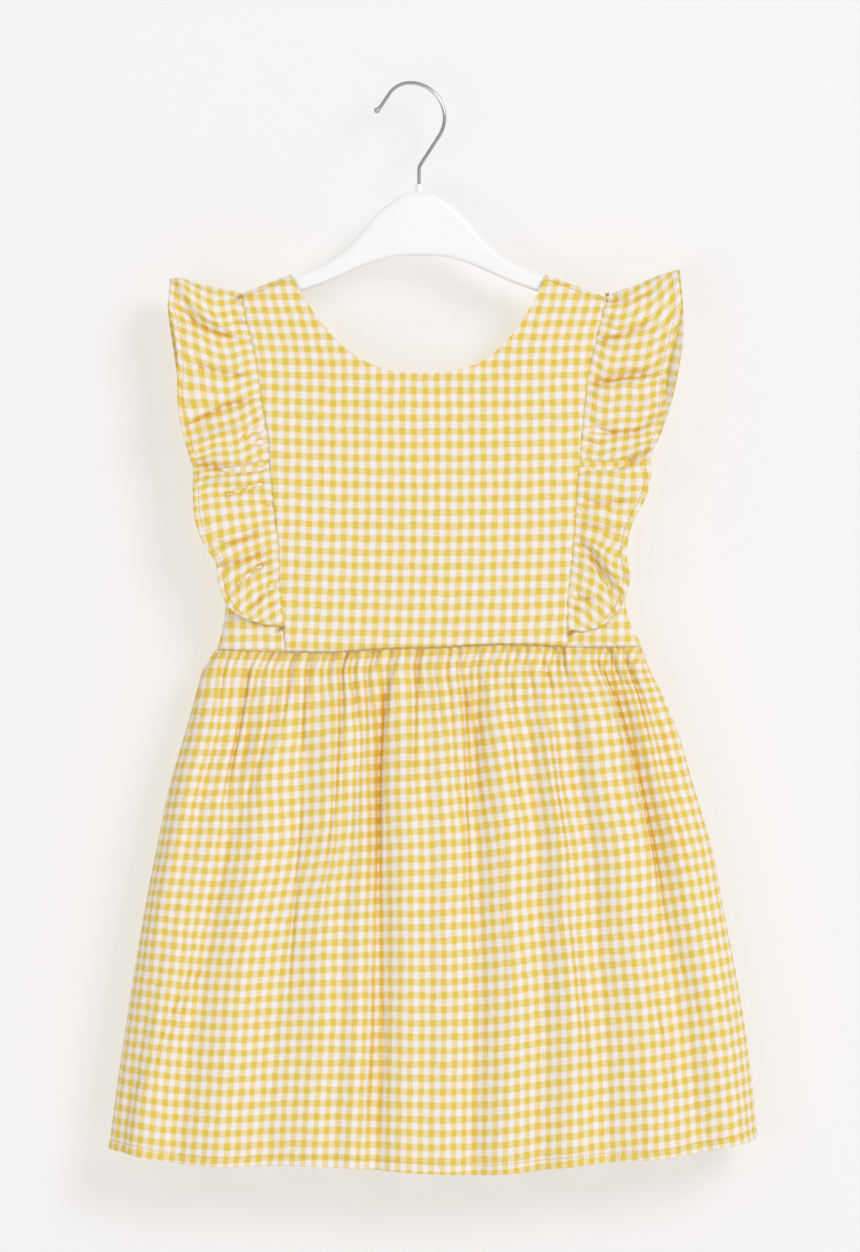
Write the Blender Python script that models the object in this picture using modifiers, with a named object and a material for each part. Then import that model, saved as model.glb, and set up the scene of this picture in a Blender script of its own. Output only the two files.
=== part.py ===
"""A child's sleeveless gingham dress with shoulder ruffles, hanging on a moulded hanger.

The origin is the highest point inside the bend of the steel hook, where a rail carries it.
X runs across the dress, -Y is its front and +Z is up. Tables and sizes are in millimetres,
and a height is given as its drop below the origin.
"""

import bmesh
import bpy
import numpy as np

METRES = 0.001
WALL = 1.2  # the cloth's wall, with its seam allowances
GAP = 0.3  # between pieces that are sewn or rest together

# The worn tube, laid flat: drop, left side, right side, half depth.
BODY = np.array(
    (
        (128.0, -180.0, 190.0, 7.8),
        (200.0, -170.0, 180.0, 8.2),
        (262.0, -138.7, 153.7, 8.8),
        (323.0, -129.9, 146.5, 9.2),
        (364.0, -126.5, 149.0, 9.5),
        (384.0, -132.0, 158.5, 9.8),
        (395.0, -139.4, 161.8, 10.6),
        (415.0, -145.5, 172.0, 12.0),
        (435.0, -151.0, 180.2, 13.2),
        (476.0, -163.2, 192.4, 15.5),
        (517.0, -172.0, 204.7, 17.6),
        (558.0, -180.2, 212.8, 19.4),
        (599.0, -187.0, 221.0, 21.0),
        (639.0, -193.1, 227.8, 22.5),
        (680.0, -199.2, 232.6, 23.8),
        (721.0, -204.7, 236.6, 25.0),
        (742.0, -207.5, 238.5, 25.5),
    )
)
BODY_LEFT, BODY_RIGHT, BODY_DEPTH = 1, 2, 3
SIDE_TURN = 1.5  # width of the tube's rounded side, in half depths
EDGE_STAND = 0.6  # how far the edges of a front and a back piece stay off the plane between them
TURN_STEPS = np.radians((90.0, 60.0, 30.0, 0.0))  # from the flat wall round to the seam

# The seams between the centre panels and the side panels: drop, left, right.
SEAM_LEFT, SEAM_RIGHT = 1, 2
PANEL_SEAM = np.array(
    (
        (140.0, -115.6, 135.0),
        (160.0, -111.8, 130.4),
        (185.0, -105.4, 123.8),
        (217.0, -101.0, 119.0),
        (235.0, -97.2, 117.3),
        (270.0, -94.5, 114.2),
        (318.0, -89.3, 110.8),
        (350.0, -88.0, 107.6),
        (386.0, -84.3, 107.0),
    )
)

# The waist seam and the hem: part of the way across from the left side, drop.
WAIST = np.array(
    ((0.0, 383.9), (0.27, 385.6), (0.42, 383.2), (0.52, 382.6), (0.66, 380.6), (0.82, 382.0), (1.0, 381.7))
)
HEM = np.array(
    (
        (0.0, 722.5),
        (0.05, 724.8),
        (0.11, 729.8),
        (0.18, 733.0),
        (0.295, 732.6),
        (0.42, 735.5),
        (0.51, 738.4),
        (0.585, 738.6),
        (0.675, 734.6),
        (0.77, 730.2),
        (0.84, 727.4),
        (0.91, 721.8),
        (0.97, 717.0),
        (1.0, 714.8),
    )
)

WAIST_LEVEL = 384.0  # mean drop of the waist seam
SEAM_TOP = {"left": 143.0, "right": 145.0}  # drops where the panel seams reach the shoulders
NECK_CENTRE = 5.8
NECK_HALF_WIDTH = 86.7
NECK_TOP = 128.7
FRONT_NECK = {"deep": 67.3, "left_power": 2.5, "right_power": 3.1}
BACK_NECK = {"deep": 72.0, "left_power": 2.9, "right_power": 3.5}
STRAP_COLUMNS = 4
PANEL_COLUMNS = 28  # across a centre panel, with the columns of both straps
PANEL_ROWS = (0.0, 0.04, 0.18, 0.34, 0.5, 0.66, 0.83)  # parts of the way from the waist to the roll
SHOULDER_SLOPE = 0.39
SHOULDER_ROLL = 7.5  # drop over which the cloth turns over the hanger's arm

ARMHOLE_AT_SEAM = 214.0
ARMHOLE_AT_SIDE = 262.0
SEAM_LAP = 1.5  # how far a side panel's edge runs behind the centre panel
SIDE_ROWS = (0.0, 0.035, 0.08, 0.16, 0.4, 0.7, 1.0)
SIDE_FLAT_COLUMNS = 4

# A ruffle's free edge: drop of its point on the seam, then the edge's place across and drop.
RUFFLE_LEFT = np.array(
    (
        (152.0, -165.5, 150.0),
        (168.0, -163.0, 171.0),
        (190.0, -159.2, 196.0),
        (215.0, -157.0, 223.0),
        (236.0, -151.5, 247.0),
        (250.0, -147.3, 260.0),
        (268.0, -147.3, 277.0),
        (290.0, -145.4, 298.0),
        (308.0, -139.0, 314.0),
        (322.0, -131.8, 325.0),
        (338.0, -130.2, 338.0),
        (349.0, -126.0, 350.0),
        (357.0, -119.5, 358.5),
        (363.0, -110.0, 363.5),
        (369.0, -98.0, 367.0),
    )
)
RUFFLE_RIGHT = np.array(
    (
        (152.0, 186.5, 150.0),
        (170.0, 186.6, 171.0),
        (190.0, 183.6, 192.0),
        (214.0, 178.4, 216.0),
        (236.0, 170.8, 238.0),
        (250.0, 164.4, 252.0),
        (264.0, 163.8, 266.0),
        (280.0, 160.0, 281.0),
        (298.0, 150.8, 299.0),
        (316.0, 147.0, 318.0),
        (336.0, 149.0, 337.0),
        (350.0, 145.4, 350.0),
        (360.0, 139.4, 360.0),
        (367.0, 130.0, 368.0),
        (373.0, 119.0, 371.6),
    )
)
# Where the fold over the shoulder ends: place across and drop of the ruffle's free corner.
RUFFLE_TOP = {"left": (-163.8, 134.8), "right": (184.3, 128.4)}
RUFFLE_ROLL = 11.8  # length of cloth from the front face of the strap to the top of the shoulder
RUFFLE_EDGE_DEPTH = 9.5
RUFFLE_BOW = 1.5
RUFFLE_GATHERS = 36
RUFFLE_GATHER_RISE = 1.7
RUFFLE_ROWS = (0.0, 0.1, 0.28, 0.52, 0.77, 1.0)

# A ruffle's large waves: distance from the shoulder at the seam, then at the edge, rise, spread.
# Distances are below zero in front and above it behind.
RUFFLE_WAVES = {
    "left": (
        (-214.0, -214.0, 3.0, 9.0),
        (-196.0, -190.0, -1.2, 6.0),
        (-182.0, -174.0, 4.2, 10.0),
        (-158.0, -150.0, 3.0, 14.0),
        (-131.0, -127.0, -1.4, 5.0),
        (-114.0, -112.0, 4.6, 10.0),
        (-92.0, -98.0, -1.4, 5.0),
        (-76.0, -78.0, 4.0, 12.0),
        (-51.0, -52.0, -1.0, 6.0),
        (-36.0, -30.0, 4.0, 11.0),
        (0.0, 0.0, 1.5, 10.0),
        (30.0, 34.0, 4.2, 12.0),
        (62.0, 66.0, 3.6, 11.0),
        (96.0, 92.0, 4.4, 12.0),
        (128.0, 132.0, 3.4, 13.0),
        (164.0, 158.0, 4.4, 11.0),
        (198.0, 196.0, 3.8, 10.0),
    ),
    "right": (
        (-214.0, -212.0, 3.4, 9.0),
        (-200.0, -194.0, -1.4, 6.0),
        (-181.0, -190.0, 4.4, 9.0),
        (-158.0, -160.0, 3.2, 11.0),
        (-134.0, -134.0, 3.4, 10.0),
        (-117.0, -112.0, -1.4, 5.0),
        (-98.0, -96.0, 4.4, 10.0),
        (-74.0, -70.0, 3.6, 10.0),
        (-57.0, -52.0, -1.4, 5.0),
        (-38.0, -32.0, 4.0, 11.0),
        (0.0, 0.0, 1.5, 10.0),
        (33.0, 30.0, 4.2, 11.0),
        (66.0, 70.0, 3.8, 12.0),
        (98.0, 104.0, 4.2, 11.0),
        (134.0, 130.0, 3.6, 12.0),
        (166.0, 170.0, 4.2, 11.0),
        (200.0, 198.0, 3.6, 10.0),
    ),
}

SKIRT_GATHERS = 38  # along each panel's waist
GATHER_RISE = 1.7
GATHER_AT_SEAM = 0.55  # part of that rise at the waist seam itself
GATHER_SWELL = 9.0  # drop over which the gathers reach their full rise
GATHER_LENGTH = 52.0  # drop over which the gathers fade into the folds
GATHER_UNEVEN = ((0.3, 23.0), (0.2, 57.0))  # share of the rise that varies, radians across a panel
SIDE_FADE = 0.03  # part of a panel's width over which its folds die out at the side seams
TUBE_SAMPLES = 481
SKIRT_ROWS = (0.0, 5.0, 14.0, 28.0, 50.0, 85.0, 135.0, 200.0, 275.0, 350.0)
FOLD_START = 80.0  # drop below the waist at which the long folds are full
# The skirt's long folds: part of the way across at the waist, then at the hem, rise, spread.
FRONT_FOLDS = (
    (0.050, 0.075, 4.0, 0.026),
    (0.105, 0.040, -2.4, 0.014),
    (0.150, 0.125, -3.0, 0.016),
    (0.205, 0.185, 4.2, 0.030),
    (0.262, 0.255, -1.8, 0.018),
    (0.315, 0.325, 3.6, 0.028),
    (0.372, 0.382, 3.8, 0.016),
    (0.407, 0.416, -4.6, 0.016),
    (0.455, 0.462, 4.0, 0.028),
    (0.525, 0.510, 3.2, 0.024),
    (0.586, 0.556, -4.0, 0.015),
    (0.640, 0.603, 4.0, 0.024),
    (0.700, 0.652, -2.8, 0.016),
    (0.735, 0.700, 3.8, 0.022),
    (0.775, 0.752, -3.0, 0.016),
    (0.815, 0.820, 4.0, 0.028),
    (0.850, 0.890, -3.4, 0.016),
    (0.905, 0.940, 3.6, 0.022),
)
BACK_FOLDS = (
    (0.060, 0.055, 3.8, 0.026),
    (0.115, 0.110, -3.0, 0.016),
    (0.170, 0.175, 4.2, 0.030),
    (0.235, 0.245, -3.4, 0.018),
    (0.295, 0.310, 4.0, 0.026),
    (0.350, 0.370, -2.6, 0.016),
    (0.410, 0.425, 3.8, 0.028),
    (0.470, 0.480, -4.2, 0.016),
    (0.530, 0.535, 4.2, 0.026),
    (0.590, 0.600, -3.0, 0.016),
    (0.650, 0.665, 3.8, 0.028),
    (0.715, 0.730, -3.6, 0.018),
    (0.775, 0.790, 4.0, 0.026),
    (0.840, 0.850, -3.0, 0.016),
    (0.900, 0.915, 3.8, 0.026),
)

# The hanger's outline: distance from its middle, drop of its upper edge, drop of its lower edge.
HANGER_MIDDLE = 6.1
HANGER = np.array(
    (
        (0.0, 73.0, 116.5),
        (9.0, 73.8, 116.5),
        (18.0, 79.0, 117.2),
        (27.0, 86.4, 119.5),
        (36.0, 96.8, 122.5),
        (45.0, 107.2, 126.4),
        (55.0, 116.0, 131.0),
        (65.0, 122.5, 135.0),
        (76.0, 127.4, 139.0),
        (87.0, 131.3, 143.0),
        (105.0, 138.8, 150.4),
        (125.0, 147.0, 158.5),
        (142.0, 154.2, 165.0),
        (149.0, 158.6, 165.0),
    )
)
HANGER_THICKNESS = 11.0
HANGER_EDGE = 3.6
HANGER_BORE = {"radius": 1.6, "deep": 14.0}
HANGER_NECK = {"radius": 2.6, "top_radius": 2.3, "top": 67.6, "bottom": 78.0}

HOOK_WIRE = 1.3  # radius
HOOK_BEND = 23.5  # radius of the wire's centre line over the rail, on the stem's side
HOOK_NOSE_BEND = 17.0  # the same on the side of the open end
HOOK_NOSE_TURN = 56.0  # angle down from level at which the nose runs straight
HOOK_NOSE = 9.4
HOOK_LIP_BEND = 14.0
HOOK_LIP_TURN = 28.0
HOOK_LIP_POINTS = 5
HOOK_BALL = {"radius": 2.1, "steps": 8, "covers": 3}  # covers: how many of the lip's points
HOOK_SLANT_ANGLE = -33.0
HOOK_STEM_BEND = 7.0
HOOK_STEM_END = 85.0  # drop

BUTTON = {"x": -1.2, "drop": 211.0, "radius": 5.5, "thick": 2.2, "shank": 1.6, "stand": 2.4}
LOOP = {"wire": 0.8, "bend": 3.0, "reach": 13.0}


def read(table, column, at):
    """A column's value at a place in the first column, on a smooth curve through the rows."""
    places = table[:, 0]
    values = table[:, column]
    slopes = np.gradient(values, places)
    at = np.clip(at, places[0], places[-1])
    row = np.clip(np.searchsorted(places, at) - 1, 0, len(places) - 2)
    step = places[row + 1] - places[row]
    t = (at - places[row]) / step
    low = (2 * t**3 - 3 * t**2 + 1) * values[row] + (t**3 - 2 * t**2 + t) * step * slopes[row]
    high = (3 * t**2 - 2 * t**3) * values[row + 1] + (t**3 - t**2) * step * slopes[row + 1]
    return low + high


def ease(t):
    """0 to 1 with a level start and end."""
    t = np.clip(t, 0.0, 1.0)
    return t * t * (3 - 2 * t)


def shoulder_drop(x):
    """The top of the shoulder, which slopes away from the neck on both sides."""
    out = np.abs(x - NECK_CENTRE) - NECK_HALF_WIDTH
    return NECK_TOP + SHOULDER_SLOPE * out


def section(x, drop):
    """Half depth of the flattened tube at a place across and a drop."""
    inside = np.minimum(x - read(BODY, BODY_LEFT, drop), read(BODY, BODY_RIGHT, drop) - x)
    depth = read(BODY, BODY_DEPTH, drop)
    turned = np.clip(inside / (SIDE_TURN * depth), 0, 1)
    return depth * np.sqrt(1 - (1 - turned) ** 2)


def wall_depth(x, drop):
    """The section, turned over the shoulder near its top."""
    down = np.clip((drop - shoulder_drop(x)) / SHOULDER_ROLL, 0, 1)
    return section(x, drop) * np.sqrt(1 - (1 - down) ** 2)


def outward(points, side):
    """Unit normals of a grid of points, pointing to the front (-1) or the back (1)."""
    across = np.gradient(points, axis=1)
    along = np.gradient(points, axis=0)
    normals = np.cross(across, along)
    normals /= np.linalg.norm(normals, axis=2, keepdims=True)
    turn = np.sign(normals[:, :, 1].sum()) * side
    return normals * turn


def neckline_drop(place, neck):
    """Drop of the neckline at a place from -1 at its left end to 1 at its right end."""
    power = np.where(place < 0, neck["left_power"], neck["right_power"])
    return NECK_TOP + neck["deep"] * (1 - np.abs(place) ** power)


def centre_panel(neck, first, last):
    """Grid of places across and drops of a centre panel, from its column first to its column last.

    The straps' columns end on the shoulders, and those between them on the neckline.
    """
    strap = np.linspace(0, 1, STRAP_COLUMNS + 1)
    place = np.sin(np.linspace(-np.pi / 2, np.pi / 2, PANEL_COLUMNS - 2 * STRAP_COLUMNS + 1))
    left_corner = NECK_CENTRE - NECK_HALF_WIDTH
    right_corner = NECK_CENTRE + NECK_HALF_WIDTH
    left_seam = float(read(PANEL_SEAM, SEAM_LEFT, SEAM_TOP["left"]))
    right_seam = float(read(PANEL_SEAM, SEAM_RIGHT, SEAM_TOP["right"]))
    top_x = np.concatenate(
        (
            left_seam + (left_corner - left_seam) * strap[:-1],
            NECK_CENTRE + NECK_HALF_WIDTH * place,
            right_corner + (right_seam - right_corner) * strap[1:],
        )
    )
    top_drop = shoulder_drop(top_x)
    top_drop[STRAP_COLUMNS : len(top_x) - STRAP_COLUMNS] = neckline_drop(place, neck)
    run = np.hypot(np.diff(top_x), np.diff(top_drop))
    part = np.concatenate(((0,), np.cumsum(run)))
    middle = len(part) // 2
    part = np.where(
        np.arange(len(part)) < middle,
        part / part[middle] / 2,
        0.5 + (part - part[middle]) / (part[-1] - part[middle]) / 2,
    )
    waist_left = float(read(PANEL_SEAM, SEAM_LEFT, WAIST_LEVEL))
    waist_right = float(read(PANEL_SEAM, SEAM_RIGHT, WAIST_LEVEL))
    bottom_x = waist_left + (waist_right - waist_left) * part
    bottom_drop = waist_drop(bottom_x)
    flat_top = top_drop + SHOULDER_ROLL
    rows = [bottom_drop + (flat_top - bottom_drop) * row for row in PANEL_ROWS]
    rows += [top_drop + SHOULDER_ROLL * (1 - np.cos(turn)) for turn in TURN_STEPS]
    drop = np.array(rows)
    climb = (bottom_drop - drop) / (bottom_drop - top_drop)
    x = bottom_x + (top_x - bottom_x) * climb
    for edge, column in ((0, SEAM_LEFT), (-1, SEAM_RIGHT)):
        shift = read(PANEL_SEAM, column, drop[:, edge]) - x[:, edge]
        weight = (1 - part if edge == 0 else part) ** 3
        x = x + shift[:, None] * weight
    return x[:, first : last + 1], drop[:, first : last + 1]


def waist_drop(x):
    """Drop of the waist seam at a place across."""
    left, right = (float(read(BODY, side, WAIST_LEVEL)) for side in (BODY_LEFT, BODY_RIGHT))
    return read(WAIST, 1, (x - left) / (right - left))


def wall_points(x, drop, side, inset=0.0):
    """Points of a bodice piece on the tube's wall, moved in by inset."""
    depth = np.maximum(wall_depth(x, drop) - inset, 0.0)
    y = side * (np.hypot(depth, EDGE_STAND) + GAP / 2)
    return np.stack((x, y, -drop), axis=2)


def side_panel(hand, side):
    """Points of the small panel between a centre panel's seam and the side seam."""
    column = SEAM_LEFT if hand < 0 else SEAM_RIGHT
    turned = len(TURN_STEPS)
    part = np.linspace(0, 1, SIDE_FLAT_COLUMNS + turned)
    bottom_in = float(read(PANEL_SEAM, column, WAIST_LEVEL))
    bottom_out = float(read(BODY, column, WAIST_LEVEL))
    bottom_drop = waist_drop(bottom_in + (bottom_out - bottom_in) * part)
    top_drop = ARMHOLE_AT_SEAM + (ARMHOLE_AT_SIDE - ARMHOLE_AT_SEAM) * np.sin(part * np.pi / 2)
    climb = np.array(SIDE_ROWS)[:, None]
    drop = bottom_drop + (top_drop - bottom_drop) * climb
    seam = read(PANEL_SEAM, column, drop) - hand * SEAM_LAP
    edge = read(BODY, column, drop)
    turn = SIDE_TURN * read(BODY, BODY_DEPTH, drop)
    flat = edge - hand * turn
    x = seam + (flat - seam) * np.clip(part / part[SIDE_FLAT_COLUMNS], 0, 1)
    x[:, -turned:] = edge[:, -turned:] - hand * turn[:, -turned:] * (1 - np.cos(TURN_STEPS))
    return wall_points(x, drop, side, (WALL + GAP) * np.sqrt(1 - part**6))


def across_tube(part, drop):
    """Place across, from -1 to 1, at parts of the way along the cloth of one wall."""
    turn = np.sin(np.linspace(-np.pi / 2, np.pi / 2, TUBE_SAMPLES))
    left, right = (float(read(BODY, column, drop)) for column in (BODY_LEFT, BODY_RIGHT))
    x = (left + right) / 2 + turn * (right - left) / 2
    run = np.concatenate(((0,), np.cumsum(np.hypot(np.diff(x), np.diff(section(x, drop))))))
    return np.interp(part * run[-1], run, turn)


def skirt_wave(part, down, folds):
    """How far the skirt stands out of its tube, at parts of its width and a distance below the waist."""
    uneven = 1 + sum(share * np.sin(part * turns) for share, turns in GATHER_UNEVEN)
    near = GATHER_AT_SEAM + (1 - GATHER_AT_SEAM) * ease(down / GATHER_SWELL)
    gathers = np.cos(2 * np.pi * SKIRT_GATHERS * part) * uneven * near * np.exp(-down / GATHER_LENGTH)
    wave = GATHER_RISE * gathers
    to_hem = down / SKIRT_ROWS[-1]
    for at_waist, at_hem, rise, spread in folds:
        middle = at_waist + (at_hem - at_waist) * to_hem
        wave = wave + rise * ease(down / FOLD_START) * np.exp(-(((part - middle) / spread) ** 2))
    ends = ease(part / SIDE_FADE) * ease((1 - part) / SIDE_FADE)
    return wave * ends


def skirt_panel(side, folds):
    """Points of one skirt panel, from the waist seam to the hem."""
    part = np.linspace(0, 1, 2 * SKIRT_GATHERS + 1)
    top = read(WAIST, 1, part) + GAP
    bottom = read(HEM, 1, part)
    rows = []
    waves = []
    for down in SKIRT_ROWS:
        drop = top + (bottom - top) * down / SKIRT_ROWS[-1]
        across = across_tube(part, float(drop.mean()))
        left = read(BODY, BODY_LEFT, drop)
        right = read(BODY, BODY_RIGHT, drop)
        x = (left + right) / 2 + across * (right - left) / 2
        y = side * (np.hypot(section(x, drop), EDGE_STAND) + GAP / 2)
        rows.append(np.stack((x, y, -drop), axis=1))
        waves.append(skirt_wave(part, down, folds))
    points = np.array(rows)
    return points + outward(points, side) * np.array(waves)[:, :, None]


def seam_line(hand):
    """Drop and place across of the front panel's sewn edge, from the shoulder down."""
    x, drop = centre_panel(FRONT_NECK, 0, PANEL_COLUMNS)
    edge = 0 if hand < 0 else -1
    return drop[::-1, edge], x[::-1, edge] + hand * GAP


def ruffle_rails(hand, along):
    """The seam line and the free edge of a ruffle at signed distances along its seam."""
    name, table = ("left", RUFFLE_LEFT) if hand < 0 else ("right", RUFFLE_RIGHT)
    line_drop, line_x = seam_line(hand)
    side = np.where(along < 0, -1.0, 1.0)
    over = np.clip(1 - np.abs(along) / RUFFLE_ROLL, 0, 1) * np.pi / 2
    start = table[0, 0]
    drop = start + np.maximum(np.abs(along) - RUFFLE_ROLL, 0)
    seam_drop = drop - (start - line_drop[0]) * np.sin(over)
    seam_x = np.interp(seam_drop, line_drop, line_x)
    seam_y = side * (section(seam_x, drop) * np.cos(over) + GAP / 2)
    corner_x, corner_drop = RUFFLE_TOP[name]
    edge_x = read(table, 1, drop) + (corner_x - table[0, 1]) * np.sin(over)
    edge_y = side * RUFFLE_EDGE_DEPTH * np.cos(over)
    edge_drop = read(table, 2, drop) - (table[0, 2] - corner_drop) * np.sin(over)
    return np.stack((seam_x, seam_y, -seam_drop), 1), np.stack((edge_x, edge_y, -edge_drop), 1)


def ruffle_wave(hand, along, out):
    """How far a ruffle stands out, at a distance along its seam and a part of its width."""
    gathers = (1 - np.cos(np.pi * np.arange(len(along)))) / 2
    wave = RUFFLE_GATHER_RISE * gathers * (1 - out) ** 1.5 + RUFFLE_BOW * np.sin(np.pi * out / 2)
    for at_seam, at_edge, rise, spread in RUFFLE_WAVES["left" if hand < 0 else "right"]:
        middle = at_seam + (at_edge - at_seam) * out
        wave = wave + rise * out**0.7 * np.exp(-(((along - middle) / spread) ** 2))
    return wave


def ruffle(hand):
    """Points of one ruffle strip, from its front end over the shoulder to its back end."""
    table = RUFFLE_LEFT if hand < 0 else RUFFLE_RIGHT
    reach = RUFFLE_ROLL + table[-1, 0] - table[0, 0]
    along = np.linspace(-reach, reach, 2 * RUFFLE_GATHERS + 1)
    seam, edge = ruffle_rails(hand, along)
    points = np.array([seam + (edge - seam) * out for out in RUFFLE_ROWS])
    waves = np.array([ruffle_wave(hand, along, out) for out in RUFFLE_ROWS])
    across = np.gradient(points, axis=0)
    down = np.gradient(points, axis=1)
    normals = np.cross(across, down) * hand
    normals /= np.linalg.norm(normals, axis=2, keepdims=True)
    return points + normals * waves[:, :, None]


def make_material(name, colour, roughness, metallic=0.0):
    material = bpy.data.materials.new(name)
    material.use_nodes = True
    shader = material.node_tree.nodes["Principled BSDF"]
    shader.inputs["Base Color"].default_value = (*colour, 1)
    shader.inputs["Roughness"].default_value = roughness
    shader.inputs["Metallic"].default_value = metallic
    return material


def add_object(name, mesh, material, collection):
    mesh.materials.append(material)
    made = bpy.data.objects.new(name, mesh)
    collection.objects.link(made)
    mesh.shade_smooth()
    return made


def add_sheet(name, points, material, collection, turned, wall=WALL, offset=-1):
    """A grid of points with a wall, which for cloth lies inwards of them."""
    rows, columns = points.shape[:2]
    index = np.arange(rows * columns).reshape(rows, columns)
    corners = (index[:-1, :-1], index[:-1, 1:], index[1:, 1:], index[1:, :-1])
    faces = np.stack(corners, axis=2).reshape(-1, 4)
    if turned:
        faces = faces[:, ::-1]
    mesh = bpy.data.meshes.new(name)
    mesh.from_pydata((points.reshape(-1, 3) * METRES).tolist(), [], faces.tolist())
    made = add_object(name, mesh, material, collection)
    thick = made.modifiers.new("Wall", "SOLIDIFY")
    thick.thickness = wall * METRES
    thick.offset = offset
    thick.use_even_offset = True
    return made


def add_bodice(cloth, collection):
    """The centre panels in front and behind, and the four small side panels."""
    middle = PANEL_COLUMNS // 2
    x, drop = centre_panel(FRONT_NECK, 0, PANEL_COLUMNS)
    add_sheet("front_bodice", wall_points(x, drop, -1), cloth, collection, False)
    for name, first, end in (("back_bodice_left", 0, middle), ("back_bodice_right", middle, PANEL_COLUMNS)):
        x, drop = centre_panel(BACK_NECK, first, end)
        x[:, -1 if first == 0 else 0] += GAP / 2 * (-1 if first == 0 else 1)
        add_sheet(name, wall_points(x, drop, 1), cloth, collection, True)
    for hand, hand_name in ((-1, "left"), (1, "right")):
        for side, side_name in ((-1, "front"), (1, "back")):
            points = side_panel(hand, side)
            name = f"{side_name}_side_{hand_name}"
            add_sheet(name, points, cloth, collection, hand * side > 0)


def add_cone(name, radius, top_radius, top, bottom, cutters):
    """A hidden upright cone on the hanger's middle, for a Boolean to join or cut."""
    mesh = bpy.data.meshes.new(name)
    shape = bmesh.new()
    bmesh.ops.create_cone(
        shape,
        cap_ends=True,
        segments=16,
        radius1=radius * METRES,
        radius2=top_radius * METRES,
        depth=(bottom - top) * METRES,
    )
    shape.to_mesh(mesh)
    shape.free()
    made = bpy.data.objects.new(name, mesh)
    made.location = (HANGER_MIDDLE * METRES, 0, -(top + bottom) / 2 * METRES)
    made.hide_render = True
    made.display_type = "WIRE"
    cutters.objects.link(made)
    return made


def add_hanger(material, collection, cutters):
    """The moulded hanger, with a short neck and a bore for the hook's stem."""
    distance = np.concatenate((-HANGER[:0:-1, 0], HANGER[:, 0]))
    upper = np.concatenate((HANGER[:0:-1, 1], HANGER[:, 1]))
    lower = np.concatenate((HANGER[:0:-1, 2], HANGER[:, 2]))
    points = np.zeros((2, len(distance), 3))
    points[:, :, 0] = HANGER_MIDDLE + distance
    points[0, :, 2] = -upper
    points[1, :, 2] = -lower
    made = add_sheet("hanger", points, material, collection, True, HANGER_THICKNESS, 0)
    rounding = made.modifiers.new("Rounding", "BEVEL")
    rounding.width = HANGER_EDGE * METRES
    rounding.segments = 2
    rounding.limit_method = "ANGLE"
    rounding.angle_limit = np.radians(50)
    size = HANGER_NECK
    neck = add_cone("neck", size["radius"], size["top_radius"], size["top"], size["bottom"], cutters)
    joined = made.modifiers.new("Neck", "BOOLEAN")
    joined.object = neck
    joined.operation = "UNION"
    bore = HANGER_BORE
    top = HANGER[0, 1] - bore["deep"]
    bottom = HANGER[0, 1] + bore["deep"]
    cut = made.modifiers.new("Bore", "BOOLEAN")
    cut.object = add_cone("bore", bore["radius"], bore["radius"], top, bottom, cutters)
    cut.operation = "DIFFERENCE"


def add_wire(name, points, radius, material, collection, swell=()):
    """A wire along a list of points, whose first points may be thicker than the rest."""
    curve = bpy.data.curves.new(name, "CURVE")
    curve.dimensions = "3D"
    curve.bevel_depth = radius * METRES
    curve.bevel_resolution = 2
    curve.use_fill_caps = True
    spline = curve.splines.new("POLY")
    spline.points.add(len(points) - 1)
    for point, place in zip(spline.points, points):
        point.co = (*(value * METRES for value in place), 1)
    for point, times in zip(spline.points, swell):
        point.radius = times
    curve.materials.append(material)
    made = bpy.data.objects.new(name, curve)
    collection.objects.link(made)
    return made


def arc(centre, radius, start, end, count):
    """Points of an arc in the XZ plane, between two angles in degrees."""
    angles = np.radians(np.linspace(start, end, count))
    return [(centre[0] + radius * np.cos(a), 0.0, centre[1] + radius * np.sin(a)) for a in angles]


def hook_nose():
    """The open end of the hook's centre line, from its lip to the top of the bend."""
    turn = np.radians(HOOK_NOSE_TURN)
    top = (0.0, HOOK_WIRE - HOOK_NOSE_BEND)
    bend = arc(top, HOOK_NOSE_BEND, 90 + HOOK_NOSE_TURN, 90, 7)
    way = np.array((-np.cos(turn), -np.sin(turn)))
    straight_end = np.array((bend[0][0], bend[0][2])) + way * HOOK_NOSE
    lip_centre = straight_end + HOOK_LIP_BEND * np.array((-np.sin(turn), np.cos(turn)))
    first = HOOK_NOSE_TURN - 90 - HOOK_LIP_TURN
    lip = arc(lip_centre, HOOK_LIP_BEND, first, HOOK_NOSE_TURN - 90, HOOK_LIP_POINTS)
    return lip + bend


def hook_ball(tip, way):
    """Points and radii, in wire radii, of the ball on the hook's open end."""
    radius = HOOK_BALL["radius"]
    angles = np.radians(np.linspace(170, 35, HOOK_BALL["steps"]))
    points = [tip + way * radius * (1 + np.cos(angle)) for angle in angles]
    return points, radius * np.sin(angles) / HOOK_WIRE


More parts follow.
